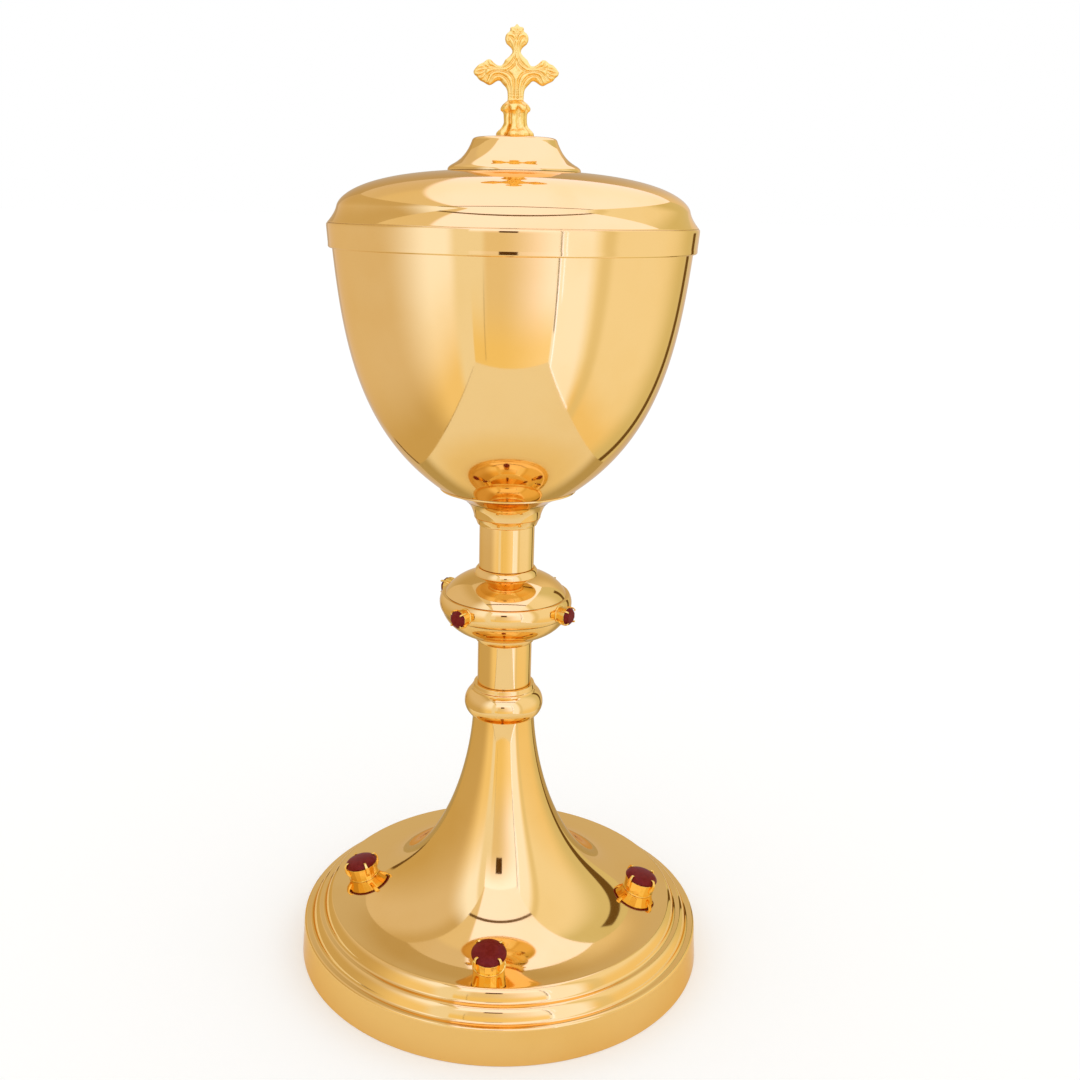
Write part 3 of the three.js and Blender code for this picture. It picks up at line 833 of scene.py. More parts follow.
def cup_outline():
    slope = math.radians(CUP_SIDE_ANGLE)
    lean = math.radians(CUP_SHOULDER_LEAN)
    straight_base = cup_top - CUP_STRAIGHT
    side_pull = (math.cos(slope) * CUP_SIDE_PULL, math.sin(slope) * CUP_SIDE_PULL)
    shoulder_pull = (math.sin(lean) * CUP_SHOULDER_PULL, math.cos(lean) * CUP_SHOULDER_PULL)
    side = curve(
        LONG_CURVE,
        (CUP_SEAM_RADIUS, seam),
        (CUP_SEAM_RADIUS + side_pull[0], seam + side_pull[1]),
        (cup_radius - shoulder_pull[0], straight_base - shoulder_pull[1]),
        (cup_radius, straight_base),
    )
    lip = SHEET / 2
    bottom = cup_base + SHEET
    inner_side = beside(side, SHEET)
    corner = (FLOOR_CORNER[0], bottom + FLOOR_CORNER[1])
    inner_floor = curve(24, (0, bottom), (12, bottom), corner, inner_side[6])
    return outline(
        *cup_floor,
        *side[1:],
        *arc((cup_radius - lip, cup_top - lip), lip, 0, 180, 14),
        *reversed(inner_side[7:]),
        *reversed(inner_floor),
    )


cup = gilt_piece("cup_shell", cup_outline(), "cup")
satin_inside(cup, -1)

# %% [markdown]
# The lid is three pieces of sheet soldered together: a band that hangs round the cup's mouth, a
# low dome that sweeps out into a sloped flange, and a hollow boss that lifts the cross. They move
# as one body, so they ride on the lid.

# %% Lid band and dome
SLIP = 0.25
BAND_TAPER = 0.35
BAND_HEM = 1.3
FLANGE_REACH = 49.9
FLANGE_EDGE = 0.15
DOME_TURN = (47.4, 223.8)  # where the flange's hollow becomes the dome
FLANGE_PULLS = ((48.7, 220.9), (47.75, 222.3))
DOME_PULLS = ((47.12, 224.9), (44.5, 231.5))
DOME_CROWN = 0.02
BOSS_FOOT = 17.9
STUD_BORE = 1.75
SEAT = 0.05

rim_reach, rim_base, rim_top = span("lid_rim_band")
rim_inner = cup_radius + SLIP
band_side = rim_reach - 0.08
hem_side = band_side - BAND_TAPER
band_edge = curve(
    14,
    (band_side - 0.01, rim_top - 1.0),
    (band_side + 0.02, rim_top - 0.4),
    (band_side - 0.03, rim_top - 0.05),
    (band_side - 0.3, rim_top),
)
rim_outline = closed(
    (rim_inner, rim_base + 1),
    (rim_inner, rim_base, 0.2),
    (hem_side - 0.3, rim_base, 0.1),
    (hem_side, rim_base + 0.3, 0.15),
    (hem_side, rim_base + 0.6),
    (hem_side, rim_base + BAND_HEM - GUARD),
    (hem_side, rim_base + BAND_HEM),
    *band_edge,
    (rim_inner, rim_top),
)
gilt_piece("lid_rim_band", rim_outline)

flange_start = (FLANGE_REACH - 0.05, rim_top + SEAT + FLANGE_EDGE)
flange_side = curve(30, flange_start, *FLANGE_PULLS, DOME_TURN)
dome_side = curve(90, DOME_TURN, *DOME_PULLS, (BOSS_FOOT, dome_top - DOME_CROWN))


def dome_outline():
    seat_inner = cup_radius - 2 * SHEET
    seat_outer = rim_inner - SEAT
    inner = beside(dome_side, SHEET)
    return closed(
        (seat_inner, dome_base, 0.2),
        (seat_outer, dome_base, 0.1),
        (seat_outer, rim_top + SEAT),
        (FLANGE_REACH, rim_top + SEAT, 0.05),
        *flange_side,
        *dome_side[1:],
        (STUD_BORE, dome_top),
        (STUD_BORE, dome_top - SHEET),
        *reversed(inner),
        (seat_inner, DOME_TURN[1] - 2 * SHEET, 0.3),
    )


dome = gilt_piece("lid_dome", dome_outline())
satin_inside(dome)

# %% [markdown]
# The boss is a small hollow hat. Its brim stands on the dome and rounds over into a nearly flat
# ring, the side sweeps up from there in a hollow curve, and the flat top carries the cross. The
# flat ring is a mirror that looks up: it shows the arms and the shaft as a row of small marks.

# %% Boss
BRIM_START = (0.05, 0.4)  # in from the foot's radius, and up from its base
BRIM_PULL = (0.6, 2.0)
BOSS_TOP_RADIUS = 11.4
BOSS_ROUNDING = 1.9
SIDE_PULL = (2.4, 7.07)  # out from the top's radius, and down from the top

_, boss_base, boss_top = span("lid_boss")


def boss_outline():
    side = curve(
        40,
        (BOSS_FOOT - BRIM_START[0], boss_base + BRIM_START[1]),
        (BOSS_FOOT - BRIM_PULL[0], boss_base + BRIM_PULL[1]),
        (BOSS_TOP_RADIUS + SIDE_PULL[0], boss_top - SIDE_PULL[1]),
        (BOSS_TOP_RADIUS, boss_top - BOSS_ROUNDING / 2),
    )
    shoulder_end = (BOSS_TOP_RADIUS - BOSS_ROUNDING, boss_top)
    shoulder = curve(12, side[-1], (BOSS_TOP_RADIUS - 0.2, boss_top - 0.05), shoulder_end)
    inner = beside([*side, *shoulder[1:]], SHEET)
    return closed(
        (BOSS_FOOT - SHEET, boss_base),
        (BOSS_FOOT, boss_base),
        *side,
        *shoulder[1:],
        (STUD_BORE, boss_top),
        (STUD_BORE, boss_top - SHEET),
        *reversed(inner),
    )


gilt_piece("lid_boss", boss_outline())

# %% [markdown]
# The cross is a casting: three leafy arms and a shaft, on a fluted stump with a lobed foot. Its
# outline is drawn for the right half, mirrored, filled and extruded into a plate. The foot and
# the stump are turned. A voxel remesh then melts the two into one skin with small even faces,
# which is also what a casting looks like, and the leaf veins are pressed into that skin.

# %% The plate of the cross
CROSSING = 16.25  # above the boss
PLATE_HALF = 1.3
CROSS_EDGE = [
    (2.15, -9.4), (2.1, -7.0), (2.2, -4.9), (2.6, -3.9), (3.5, -2.95), (4.3, -2.15),
    (5.2, -2.35), (6.1, -2.95), (6.9, -3.3), (7.6, -3.1), (8.5, -2.6), (9.4, -2.2),
    (9.95, -1.75), (10.35, -1.2), (10.95, -0.75), (11.2, -0.05), (10.85, 0.55), (10.4, 1.1),
    (9.7, 1.75), (9.0, 2.05), (8.4, 2.35), (7.9, 2.8), (7.2, 3.05), (6.6, 2.9), (6.0, 2.35),
    (5.3, 1.8), (4.6, 1.5), (3.9, 1.55), (3.35, 2.1), (2.9, 2.95), (2.2, 3.5), (1.5, 4.2),
    (1.1, 4.9), (1.25, 5.6), (1.85, 6.3), (2.6, 6.9), (3.0, 7.7), (3.0, 8.5), (2.65, 9.3),
    (2.05, 9.75), (1.75, 10.2), (1.75, 10.75), (1.3, 11.0), (0.75, 11.0), (0.45, 11.3),
    (0.0, 11.8),
]
VOXEL = 0.17

cross_base = span("cross_finial")[1]
crossing = cross_base + CROSSING


def rounded_line(points, steps=4):
    """A smooth line that passes through every point, with a few steps between each two."""
    made = []
    for i in range(len(points) - 1):
        a, b, c, d = (Vector(points[min(max(i + k, 0), len(points) - 1)]) for k in (-1, 0, 1, 2))
        square, cube = 2 * a - 5 * b + 4 * c - d, 3 * b - a - 3 * c + d
        for t in (j / steps for j in range(steps)):
            made.append(0.5 * (2 * b + (c - a) * t + square * t * t + cube * t**3))
    return [*made, Vector(points[-1])]


half = rounded_line(CROSS_EDGE)
mirrored = [Vector((-point.x, point.y)) for point in reversed(half[:-1])]
cross_ring = [*half, *mirrored, half[0]]
plate = pulled_plate([(x, crossing + z) for x, z in cross_ring], 2 * PLATE_HALF)
print("the plate has", len(plate.data.vertices), "corners")

# %% The turned foot of the cross
FLUTES = 8
FLUTE_START = math.radians(14)  # of the first hollow, from the front towards the right
RECESS = math.radians(-33)  # the one hollow that is deep, left of the front
RECESS_DEPTH, RECESS_WIDTH = 3.0, 0.3
LOBES_TOP, CAPITAL_BASE = 2.6, 6.2  # heights above the boss
LOBE_DEPTH, FLUTE_DEPTH, LEAF_DEPTH = 0.6, 0.3, 0.65
LEAF_HEIGHT, LEAF_SPREAD = 7.4, 0.9
LEAF_DROOP = 1.2
STUD_HOLE = 1.55
STUD_DEPTH = 6.5
STUMP_STEPS = 96

foot_profile = [
    (STUD_HOLE, 0.0), (4.9, 0.0), (5.1, 0.4), (5.0, 1.0), (4.6, 1.5), (4.0, 2.0),
    (3.5, 2.6), (3.2, 3.3), (3.1, 4.2), (3.1, 5.2), (3.2, 6.0), (3.5, 6.7), (3.95, 7.2),
    (4.0, 7.75), (3.5, 8.3), (2.8, 8.75), (2.3, 9.1), (1.5, 9.3), (0.0, 9.3),
    (0.0, STUD_DEPTH), (STUD_HOLE, STUD_DEPTH),
]
stump_outline = closed(*[(radius, cross_base + height) for radius, height in foot_profile])
stump = spun("cross_stump", stump_outline, STUMP_STEPS)


def flute(place):
    """Presses the flutes of the stump, and the lobes of its foot and of its leafy capital."""
    radius = math.hypot(place.x, place.y) / MM
    height = place.z / MM - cross_base
    if radius < STUD_HOLE + 0.2:
        return
    angle = math.atan2(place.x, -place.y)
    hollow = (0.5 + 0.5 * math.cos(FLUTES * (angle - FLUTE_START))) ** 2
    depth = FLUTE_DEPTH
    if height < LOBES_TOP:
        depth = LOBE_DEPTH
    elif height > CAPITAL_BASE:
        depth = LEAF_DEPTH
    if height < CAPITAL_BASE:
        depth *= 1 + RECESS_DEPTH * math.exp(-(((angle - RECESS) / RECESS_WIDTH) ** 2))
    factor = 1 - depth * hollow / max(radius, 2.0)
    place.x *= factor
    place.y *= factor
    leaf = math.exp(-(((height - LEAF_HEIGHT) / LEAF_SPREAD) ** 2))
    place.z -= LEAF_DROOP * leaf * (0.5 - hollow) * MM


for vertex in stump.data.vertices:
    flute(vertex.co)
print("the stump has", FLUTES, "flutes")

# %% [markdown]
# The veins are strokes drawn on the front: the two lines that run up the shaft and curl out into each
# arm, the pointed arch over the crossing, and the ribs that fan out in each leaf. Each vertex of the
# skin is lowered by how near it is to a stroke, and the plate thins towards its edge. How deep each
# groove and flute lies is kept as an attribute, which the finish reads as painted shade.

# %% Veins of the cross
STROKES = [
    [(0.45, -9.0), (0.5, -5.0), (0.55, -2.6), (1.1, -1.1), (2.3, -0.1), (4.0, 0.25),
     (5.8, 0.15), (7.0, -0.5), (7.5, -1.5), (7.9, -2.3)],
    [(1.45, -8.6), (1.45, -5.0), (1.75, -2.9), (2.7, -1.5), (4.2, -0.75), (5.6, -0.9),
     (6.4, -1.7), (6.8, -2.7)],
    [(0.0, 2.9), (0.55, 1.8), (1.4, 0.95), (2.2, 0.45)],
    [(0.3, 5.2), (0.5, 3.9), (1.2, 2.5), (2.3, 1.4), (3.8, 0.85), (5.3, 0.9), (6.5, 1.3)],
    [(0.35, 5.0), (0.4, 6.4), (0.7, 7.6), (1.3, 8.4), (2.0, 8.5), (2.4, 7.9)],
    [(1.0, 5.6), (1.5, 6.6), (2.1, 7.2)],
    [(0.0, 7.8), (0.0, 9.2), (0.0, 10.6)],
    [(0.15, 8.9), (0.7, 9.5), (1.4, 9.7)],
    [(0.15, 9.8), (0.6, 10.3), (1.1, 10.5)],
    [(6.3, 0.7), (7.6, 0.9), (9.0, 0.9), (10.3, 0.4)],
    [(6.8, 1.1), (7.4, 1.9), (7.5, 2.5)],
    [(7.9, 1.1), (8.6, 1.5), (9.2, 1.7)],
    [(8.0, 0.4), (9.2, 0.0), (10.5, -0.2)],
    [(8.2, -0.3), (9.0, -0.9), (9.9, -1.2)],
    [(7.9, -0.8), (8.4, -1.7), (9.0, -2.1)],
]
STROKE_HALF = 0.28
STROKE_DEPTH = 0.34
RIDGE_PLACE, RIDGE_HALF, RIDGE_HEIGHT = 2.1 * STROKE_HALF, 0.3, 0.16
PLATE_START, PLATE_FADE = 7.6, 1.2  # below the crossing, where the veins begin
# Grooves and flutes are painted darker as painted shade, by these shares.
GROOVE_SHADE, FLUTE_SHADE = 0.45, 0.5  # how much of the hollows' colour each takes
LUMP_SCALE = 0.8
LUMP_DEPTH = 0.11
SOFTEN_SHARE, SOFTEN_ROUNDS = 0.5, 3
EDGE_ROUND = 1.1
EDGE_HALF = 0.42
BACK_SHARE = 0.6


def nearest(points, line):
    """How far each point is from a line given as closely spaced points."""
    best = np.full(len(points), 1e9)
    for mark in line:
        best = np.minimum(best, np.hypot(points[:, 0] - mark[0], points[:, 1] - mark[1]))
    return best


def cross_skin(plate, stump):
    select_only(plate)
    stump.select_set(True)
    bpy.ops.object.join()
    melt = plate.modifiers.new("melt", "REMESH")
    melt.mode = "VOXEL"
    melt.voxel_size = VOXEL * MM
    bpy.ops.object.modifier_apply(modifier=melt.name)
    soften = plate.modifiers.new("soften", "SMOOTH")
    soften.factor = SOFTEN_SHARE
    soften.iterations = SOFTEN_ROUNDS
    bpy.ops.object.modifier_apply(modifier=soften.name)
    return plate


cross = cross_skin(plate, stump)
cross.name = cross.data.name = "cross"


def press_veins(piece):
    count = len(piece.data.vertices)
    place = np.zeros(count * 3)
    piece.data.vertices.foreach_get("co", place)
    place = place.reshape(-1, 3) / MM
    flat = np.stack([place[:, 0], place[:, 2] - crossing], 1)
    marks = np.concatenate([rounded_line(stroke, 6) for stroke in STROKES])
    folded = np.stack([np.abs(flat[:, 0]), flat[:, 1]], 1)
    apart = nearest(folded, marks)
    groove = np.exp(-((apart / STROKE_HALF) ** 2))
    ridge = np.exp(-(((apart - RIDGE_PLACE) / RIDGE_HALF) ** 2))
    in_plate = np.clip((flat[:, 1] + PLATE_START) / PLATE_FADE, 0, 1)
    edge = nearest(flat, cross_ring)
    rim = np.clip(edge / EDGE_ROUND, 0, 1)
    half = EDGE_HALF + (PLATE_HALF - EDGE_HALF) * np.sqrt(1 - (1 - rim) ** 2)
    side = np.where(place[:, 1] < 0, 1.0, BACK_SHARE)
    depth = side * in_plate * (STROKE_DEPTH * groove - RIDGE_HEIGHT * ridge)
    share = 1 + in_plate * (half / PLATE_HALF - 1)
    keep = np.clip(np.abs(place[:, 1]) / PLATE_HALF, 0, 1)
    place[:, 1] = place[:, 1] * share - np.sign(place[:, 1]) * depth * keep * rim
    lumps = np.array([mathutils.noise.noise(Vector(spot) * LUMP_SCALE) for spot in place])
    place[:, 1] += np.sign(place[:, 1]) * LUMP_DEPTH * lumps
    place[:, 0] += np.sign(place[:, 0]) * (1 - in_plate) * LUMP_DEPTH * lumps
    angle = np.arctan2(place[:, 0], -place[:, 1]) - FLUTE_START
    flutes = (1 - in_plate) * (0.5 + 0.5 * np.cos(FLUTES * angle)) ** 2
    # painted shade for the grooves and the flutes, for the finish to read
    hollow = np.clip(GROOVE_SHADE * in_plate * groove * side + FLUTE_SHADE * flutes, 0, 1)
    attribute = piece.data.attributes.new("hollow", "FLOAT", "POINT")
    attribute.data.foreach_set("value", hollow.astype(np.float32))
    piece.data.vertices.foreach_set("co", (place * MM).ravel())
    piece.data.update()


press_veins(cross)
select_only(cross)
bpy.ops.object.shade_smooth()
finish_piece(cross, cast, "lid", "cross_finial")
print("the cross has", len(cross.data.polygons), "faces")

# %% [markdown]
# A claw setting is a short ring, the collet, with four claws that bend over the stone's edge.
# It is modelled once, upright at the origin, from the stone's own measures, and each copy is
# then carried to its place. The place is read from the CAD stone: its middle, and the short
# axis of its disc.

# %% Where a stone stands
def standing(node):
    """The turn and place of a CAD stone's axis, with the stone's back on it, in metres."""
    corners = np.array([vertex.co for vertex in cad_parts[node].data.vertices], float)
    middle = corners.mean(0)
    spread = np.cov((corners - middle).T)
    axis = Vector(np.linalg.eigh(spread)[1][:, 0])
    outward = Vector((middle[0], middle[1], 0)).normalized()
    if axis.dot(outward + Vector((0, 0, 1))) < 0:
        axis = -axis
    across = Vector((0, 0, 1)).cross(outward)
    along = across.cross(axis).normalized()
    across = axis.cross(along)
    back = min((Vector(corner) - Vector(middle)).dot(axis) for corner in corners)
    turn = Matrix((along, across, axis)).transposed().to_4x4()
    return Matrix.Translation(Vector(middle) + axis * back) @ turn


for node in ("foot_stone_1", "knop_stone_1"):
    place = standing(node)
    lean = math.degrees(place.col[2].to_3d().angle(Vector((0, 0, 1))))
    print(node, "leans", round(lean, 2), "degrees")

# %% [markdown]
# The collet is turned, with small flats pressed round it. A claw starts as its side view, drawn
# as an outline, filled and pulled to its width; its edges are then rounded with a bevel and its
# tip is squeezed narrower. A Boolean joins each claw to the collet, so the setting is one solid.

# %% Claw setting
SOLDER_GAP = 0.05  # from the collet's top to the stone's back
STEPS_PER_FLAT = 16
TIP_SQUEEZE = 0.32  # of the claw's width, lost at its tip
CLAW_ROUNDING = 0.36  # of the claw's thickness
CLAW_EDGE_ANGLE = math.radians(15)
SETTING_SMOOTH_ANGLE = math.radians(35)


def collet(gem):
    base = gem.radius - gem.base_inset
    top = gem.radius - gem.top_inset
    wall, height = gem.wall, gem.height
    points = closed(
        (base - wall, 0),
        (base + gem.flange, 0, 0.08),
        (base + gem.flange, gem.flange_height, 0.1),
        (base, gem.flange_height + 0.08),
        (top, height, 0.12),
        (top - wall, height),
    )
    piece = spun("collet", points, STEPS_PER_FLAT * gem.flats)
    for vertex in piece.data.vertices:
        radius = math.hypot(vertex.co.x, vertex.co.y) / MM
        height_here = vertex.co.z / MM
        if radius > base - 0.3 * wall and height_here > gem.flange_height + 0.04:
            turn = math.atan2(vertex.co.y, vertex.co.x) * gem.flats / (2 * math.pi)
            apart = abs(turn - round(turn)) * 2 * math.pi / gem.flats
            factor = math.cos(math.pi / gem.flats) / math.cos(apart)
            vertex.co.x *= factor
            vertex.co.y *= factor
    return piece


def claw(gem):
    """The side view of a claw, as (distance from the axis, height), pulled to its width."""
    radius, height = gem.radius, gem.height
    base = radius - gem.base_inset
    girdle = height + SOLDER_GAP + gem.edge
    inner = radius + 0.1
    outer = inner + gem.claw
    reach = radius - gem.reach
    over = girdle + gem.crown * gem.reach / gem.table_inset + 0.2
    side = [
        (base - 0.25, 0.22 * height), (base + 0.6 * gem.claw, 0.16 * height),
        (outer - 0.05, 0.6 * height), (outer, height),
        (outer - 0.05, girdle + 0.35 * gem.claw),
        (inner - 0.1 * gem.claw, over + 0.45 * gem.claw),
        (0.55 * inner + 0.45 * reach, over + 0.85 * gem.claw),
        (reach, over + 0.45 * gem.claw), (reach + 0.1, over - 0.02),
        (0.5 * inner + 0.5 * reach, over - 0.05), (inner, girdle + 0.1),
        (inner, height), (radius - gem.top_inset - 0.25, 0.85 * height),
    ]
    piece = pulled_plate([*side, side[0]], gem.claw_width)
    for vertex in piece.data.vertices:
        tip = (vertex.co.z / MM - girdle) / (over - girdle)
        vertex.co.y *= 1 - TIP_SQUEEZE * min(max(tip, 0), 1)
    soft = piece.modifiers.new("soft", "BEVEL")
    soft.width = CLAW_ROUNDING * gem.claw * MM
    soft.segments = 3
    soft.limit_method = "ANGLE"
    soft.angle_limit = CLAW_EDGE_ANGLE
    bpy.ops.object.modifier_apply(modifier=soft.name)
    return piece


def setting(gem, turns):
    """A collet with a claw at each of its turns, in degrees."""
    whole = collet(gem)
    model = claw(gem)
    for turn in turns:
        copy = model.copy()
        copy.data = model.data.copy()
        bpy.context.scene.collection.objects.link(copy)
        copy.data.transform(Matrix.Rotation(math.radians(turn), 4, "Z"))
        weld = whole.modifiers.new("weld", "BOOLEAN")
        weld.operation = "UNION"
        weld.solver = "EXACT"
        weld.object = copy
        bpy.context.view_layer.objects.active = whole
        bpy.ops.object.modifier_apply(modifier=weld.name)
        bpy.data.objects.remove(copy)
    bpy.data.objects.remove(model)
    select_only(whole)
    bpy.ops.object.shade_smooth_by_angle(angle=SETTING_SMOOTH_ANGLE)
    return whole


FOOT_GEM = SimpleNamespace(
    radius=5.0, edge=0.5, crown=1.4, table_inset=1.9, height=3.2, base_inset=0.5, top_inset=0.15,
    wall=0.6, flange=0.3, flange_height=0.3, flats=18, claw=0.5, claw_width=1.0, reach=1.1,
)
KNOP_GEM = SimpleNamespace(
    radius=2.6, edge=0.3, crown=0.8, table_inset=1.0, height=2.7, base_inset=0.35, top_inset=0.1,
    wall=0.45, flange=0.2, flange_height=0.25, flats=12, claw=0.3, claw_width=0.62, reach=0.6,
)

# %% [markdown]
# The stones of the foot are round with a low domed top. Those of the knop are cut, with a ring
# of small facets round a flat table, so theirs is an outline turned in few steps and left flat.

# %% Stones
KNOP_FACETS = 10
FACET_ANGLE = math.radians(5)


def foot_stone_model():
    gem = FOOT_GEM
    girdle = gem.edge
    table = gem.radius - gem.table_inset
    dome = curve(
        20,
        (gem.radius, girdle),
        (gem.radius - 0.5, girdle + 0.8 * gem.crown),
        (table, girdle + 1.05 * gem.crown),
        (0, girdle + 1.1 * gem.crown),
    )
    points = outline((0, 0), (0.92 * gem.radius, 0, 0.1), (gem.radius, 0.2, 0.1), *dome)
    return spun("stone", points, SMALL_ROUND_STEPS)


def knop_stone_model():
    gem = KNOP_GEM
    girdle = gem.edge
    table = gem.radius - gem.table_inset
    piece = spun(
        "stone",
        [
            (0, 0),
            (0.92 * gem.radius, 0),
            (gem.radius, 0.12),
            (gem.radius, girdle),
            (gem.radius - 0.55 * gem.table_inset, girdle + 0.72 * gem.crown),
            (table, girdle + gem.crown),
            (0, girdle + 1.02 * gem.crown),
        ],
        KNOP_FACETS,
    )
    bpy.ops.object.shade_smooth_by_angle(angle=FACET_ANGLE)
    return piece


def placed_copy(model, name, place):
    """A copy of a model with its own mesh, carried to its place."""
    copy = model.copy()
    copy.data = model.data.copy()
    copy.data.transform(place)
    copy.name = copy.data.name = name
    bpy.context.scene.collection.objects.link(copy)
    return copy


SEAT_GAP = 0.02
SEAT_REACH = 0.1  # above the lowest ring, what still follows the metal


def seat_setting(piece, place, gem, ground):
    """Carries a setting to its place, and lets its lowest ring follow the metal below it."""
    axis = place.col[2].to_3d().normalized()
    for vertex in piece.data.vertices:
        rise = vertex.co.z
        here = place @ vertex.co
        if rise < (gem.flange_height + SEAT_REACH) * MM:
            met, spot, _, _ = ground.ray_cast(here + axis * gem.height * MM, -axis)
            if met:
                here = spot + axis * (rise + SEAT_GAP * MM)
        vertex.co = here


GEM_ROWS = (  # row, sizes, stone, turn of the first claw on each setting, metal below
    ("foot", FOOT_GEM, foot_stone_model, (45, 45, 45, 30), foot),
    ("knop", KNOP_GEM, knop_stone_model, (45, 45, 45, 45), band),
)
for row, gem, stone_model, first_turns, ground in GEM_ROWS:
    stone = stone_model()
    for number, first in enumerate(first_turns, 1):
        back = standing(f"{row}_stone_{number}")
        base = back @ Matrix.Translation((0, 0, -(gem.height + SOLDER_GAP) * MM))
        model = setting(gem, [first + 90 * k for k in range(4)])
        seat_setting(model, base, gem, ground)
        model.name = model.data.name = f"{row}_setting_{number}_fine"
        finish_piece(model, claw_gilt, "vessel", f"{row}_setting_{number}")
        copy = placed_copy(stone, f"{row}_stone_{number}_fine", back)
        finish_piece(copy, ruby, "vessel", f"{row}_stone_{number}")
    bpy.data.objects.remove(stone)
print("settings and stones placed")

# %% [markdown]
# The fasteners are seen only from below. Rods and washers are turned again with rounded edges,
# and the two nuts keep the CAD shape and get the steel.

# %% Fasteners
FASTENERS = (  # node, body, bore, and the rounding of the lower and the upper edge
    ("tie_rod", "vessel", 0, 0.4, 0.2),
    ("cross_stud", "lid", 0, 0.4, 0.2),
    ("tie_rod_washer", "vessel", 3.05, 0.12, 0.12),
    ("cross_washer", "lid", 1.55, 0.12, 0.12),
)
for node, body, bore, lower, upper in FASTENERS:
    radius, base, top = span(node)
    corners = [(bore, base), (radius, base, lower), (radius, top, upper), (bore, top)]
    if bore:
        corners.append((bore, base))
    piece = spun(f"{node}_fine", outline(*corners), SMALL_ROUND_STEPS)
    finish_piece(piece, steel, body, node)
for node in ("tie_rod_nut", "cross_nut"):
    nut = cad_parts[node]
    nut.data.materials.clear()
    nut.data.materials.append(steel)
print("fasteners finished")

# %% [markdown]
# A mirror shows the room, so the studio is part of the look. Polished metal is photographed
# inside a tent of pale cloth, with the camera looking in through a slit. Here the tent is a box
# of panels that only reflections see: they give the metal its broad soft bands, while the even
# light of the world lights the stones and the floor. Each panel's light is a smooth pattern. The
# numbers in it are places along the panel in millimetres: where one tone gives way to the next,
# where two cloths meet in a dark seam, and where bright gaps stand at the tent's sides.

# %% Tent
TENT_LEFT, TENT_RIGHT = -137.0, 150.0
TENT_FRONT, TENT_BACK = -312.0, 190.0
TENT_TOP = 330.0


def tent_finish(name, paint):
    """A glowing panel, whose colour and strength paint works out from its place in mm."""
    material, tree = new_finish(name)
    place = object_place(tree)
    x, y, z = (place.part(axis) for axis in "XYZ")
    colour = paint(x, y, z)
    glow = tree.node("ShaderNodeEmission", {}, {"Color": colour, "Strength": 1.0})
    tree.node("ShaderNodeOutputMaterial", {}, {"Surface": glow})
    return material


def tent_panel(name, corners, paint):
    """One flat panel of the tent between two opposite corners, seen only by reflections."""
    low, high = (Vector(side) * MM for side in (map(min, *corners), map(max, *corners)))
    bpy.ops.object.select_all(action="DESELECT")
    bpy.ops.mesh.primitive_cube_add(size=1, location=(0, 0, 0))
    panel = bpy.context.object
    bpy.ops.object.mode_set(mode="EDIT")
    bpy.ops.transform.resize(value=high - low)
    bpy.ops.transform.translate(value=(low + high) / 2)
    bpy.ops.object.mode_set(mode="OBJECT")
    panel.name = name
    panel.data.materials.append(tent_finish(name, paint))
    for ray in ("camera", "diffuse", "transmission", "shadow", "volume_scatter"):
        setattr(panel, f"visible_{ray}", False)
    return panel


MIDDLE_LIGHT = (0.87, 0.81, 0.82)
MIDDLE_LOW = (0.97, 0.84, 0.57)
FRONT_EDGE = (0.96, 1.0, 1.28)
FRONT_BRIGHT = (1.25, 1.35, 2.55)
FRONT_LOW = (1.1, 1.02, 1.02)
FRONT_TOP = (1.4, 1.5, 3.0)
PALE_LIGHT = (1.12, 1.29, 2.25)
SIDE_LIGHT = (1.0, 1.02, 1.22)
SIDE_LOW = (0.98, 0.87, 0.70)
DIM_LIGHT = (0.74, 0.75, 0.68)
TAN_LIGHT = (0.78, 0.72, 0.78)
TAN_LOW = (0.64, 0.535, 0.38)
TAN_TOP = (0.66, 0.57, 0.48)
BACK_LIGHT = (0.68, 0.64, 0.68)
BACK_TOP = (0.57, 0.48, 0.37)
BRIGHT_LIGHT = (1.25, 1.33, 2.5)
BAND_LIGHT = (0.84, 0.82, 0.80)
GAP_LIGHT = (1.6, 1.8, 4.5)
SEAM_LIGHT = (0.16, 0.10, 0.04)
LENS_LIGHT = (0.10, 0.05, 0.015)
THICK = 2.0


def within(value, low, high, soft):
    """1 between two places along a panel, falling to 0 over a soft edge."""
    return value.ramp(low - soft, low + soft) * (1 - value.ramp(high - soft, high + soft))


def front_paint(x, y, z):
    low = x.ramp(-40, 160).blend(MIDDLE_LOW, FRONT_LOW)
    side = (1 - x.ramp(-100, -75)).blend(MIDDLE_LIGHT, FRONT_EDGE)
    high = x.ramp(-40, 160).blend(side, FRONT_BRIGHT)
    cloth = z.ramp(165, 330).blend(z.ramp(30, 130).blend(low, high), FRONT_TOP)
    line = within(x, -92.5, -89.5, 0.7) * z.ramp(10, 16) * (1 - z.ramp(100, 150)) * 0.45
    lens = within(x, -40, 15, 1.5) * within(z, 192, 248, 1.5)
    return lens.blend(line.blend(cloth, SEAM_LIGHT), LENS_LIGHT)


def left_paint(x, y, z):
    pale = z.ramp(45, 185).blend(SIDE_LOW, PALE_LIGHT)
    near = (1 - y.ramp(-235, -185)).blend(pale, FRONT_EDGE)
    tan = z.ramp(200, 300).blend(z.ramp(40, 140).blend(TAN_LOW, TAN_LIGHT), TAN_TOP)
    far = y.ramp(-140, -40).blend(near, tan)
    foot_line = within(y, -290, -60, 5) * (1 - z.ramp(1, 4)) * 0.6
    seam_line = within(y, 170, 190, 2) * (1 - z.ramp(50, 60))
    return (foot_line + seam_line).blend(far, SEAM_LIGHT)


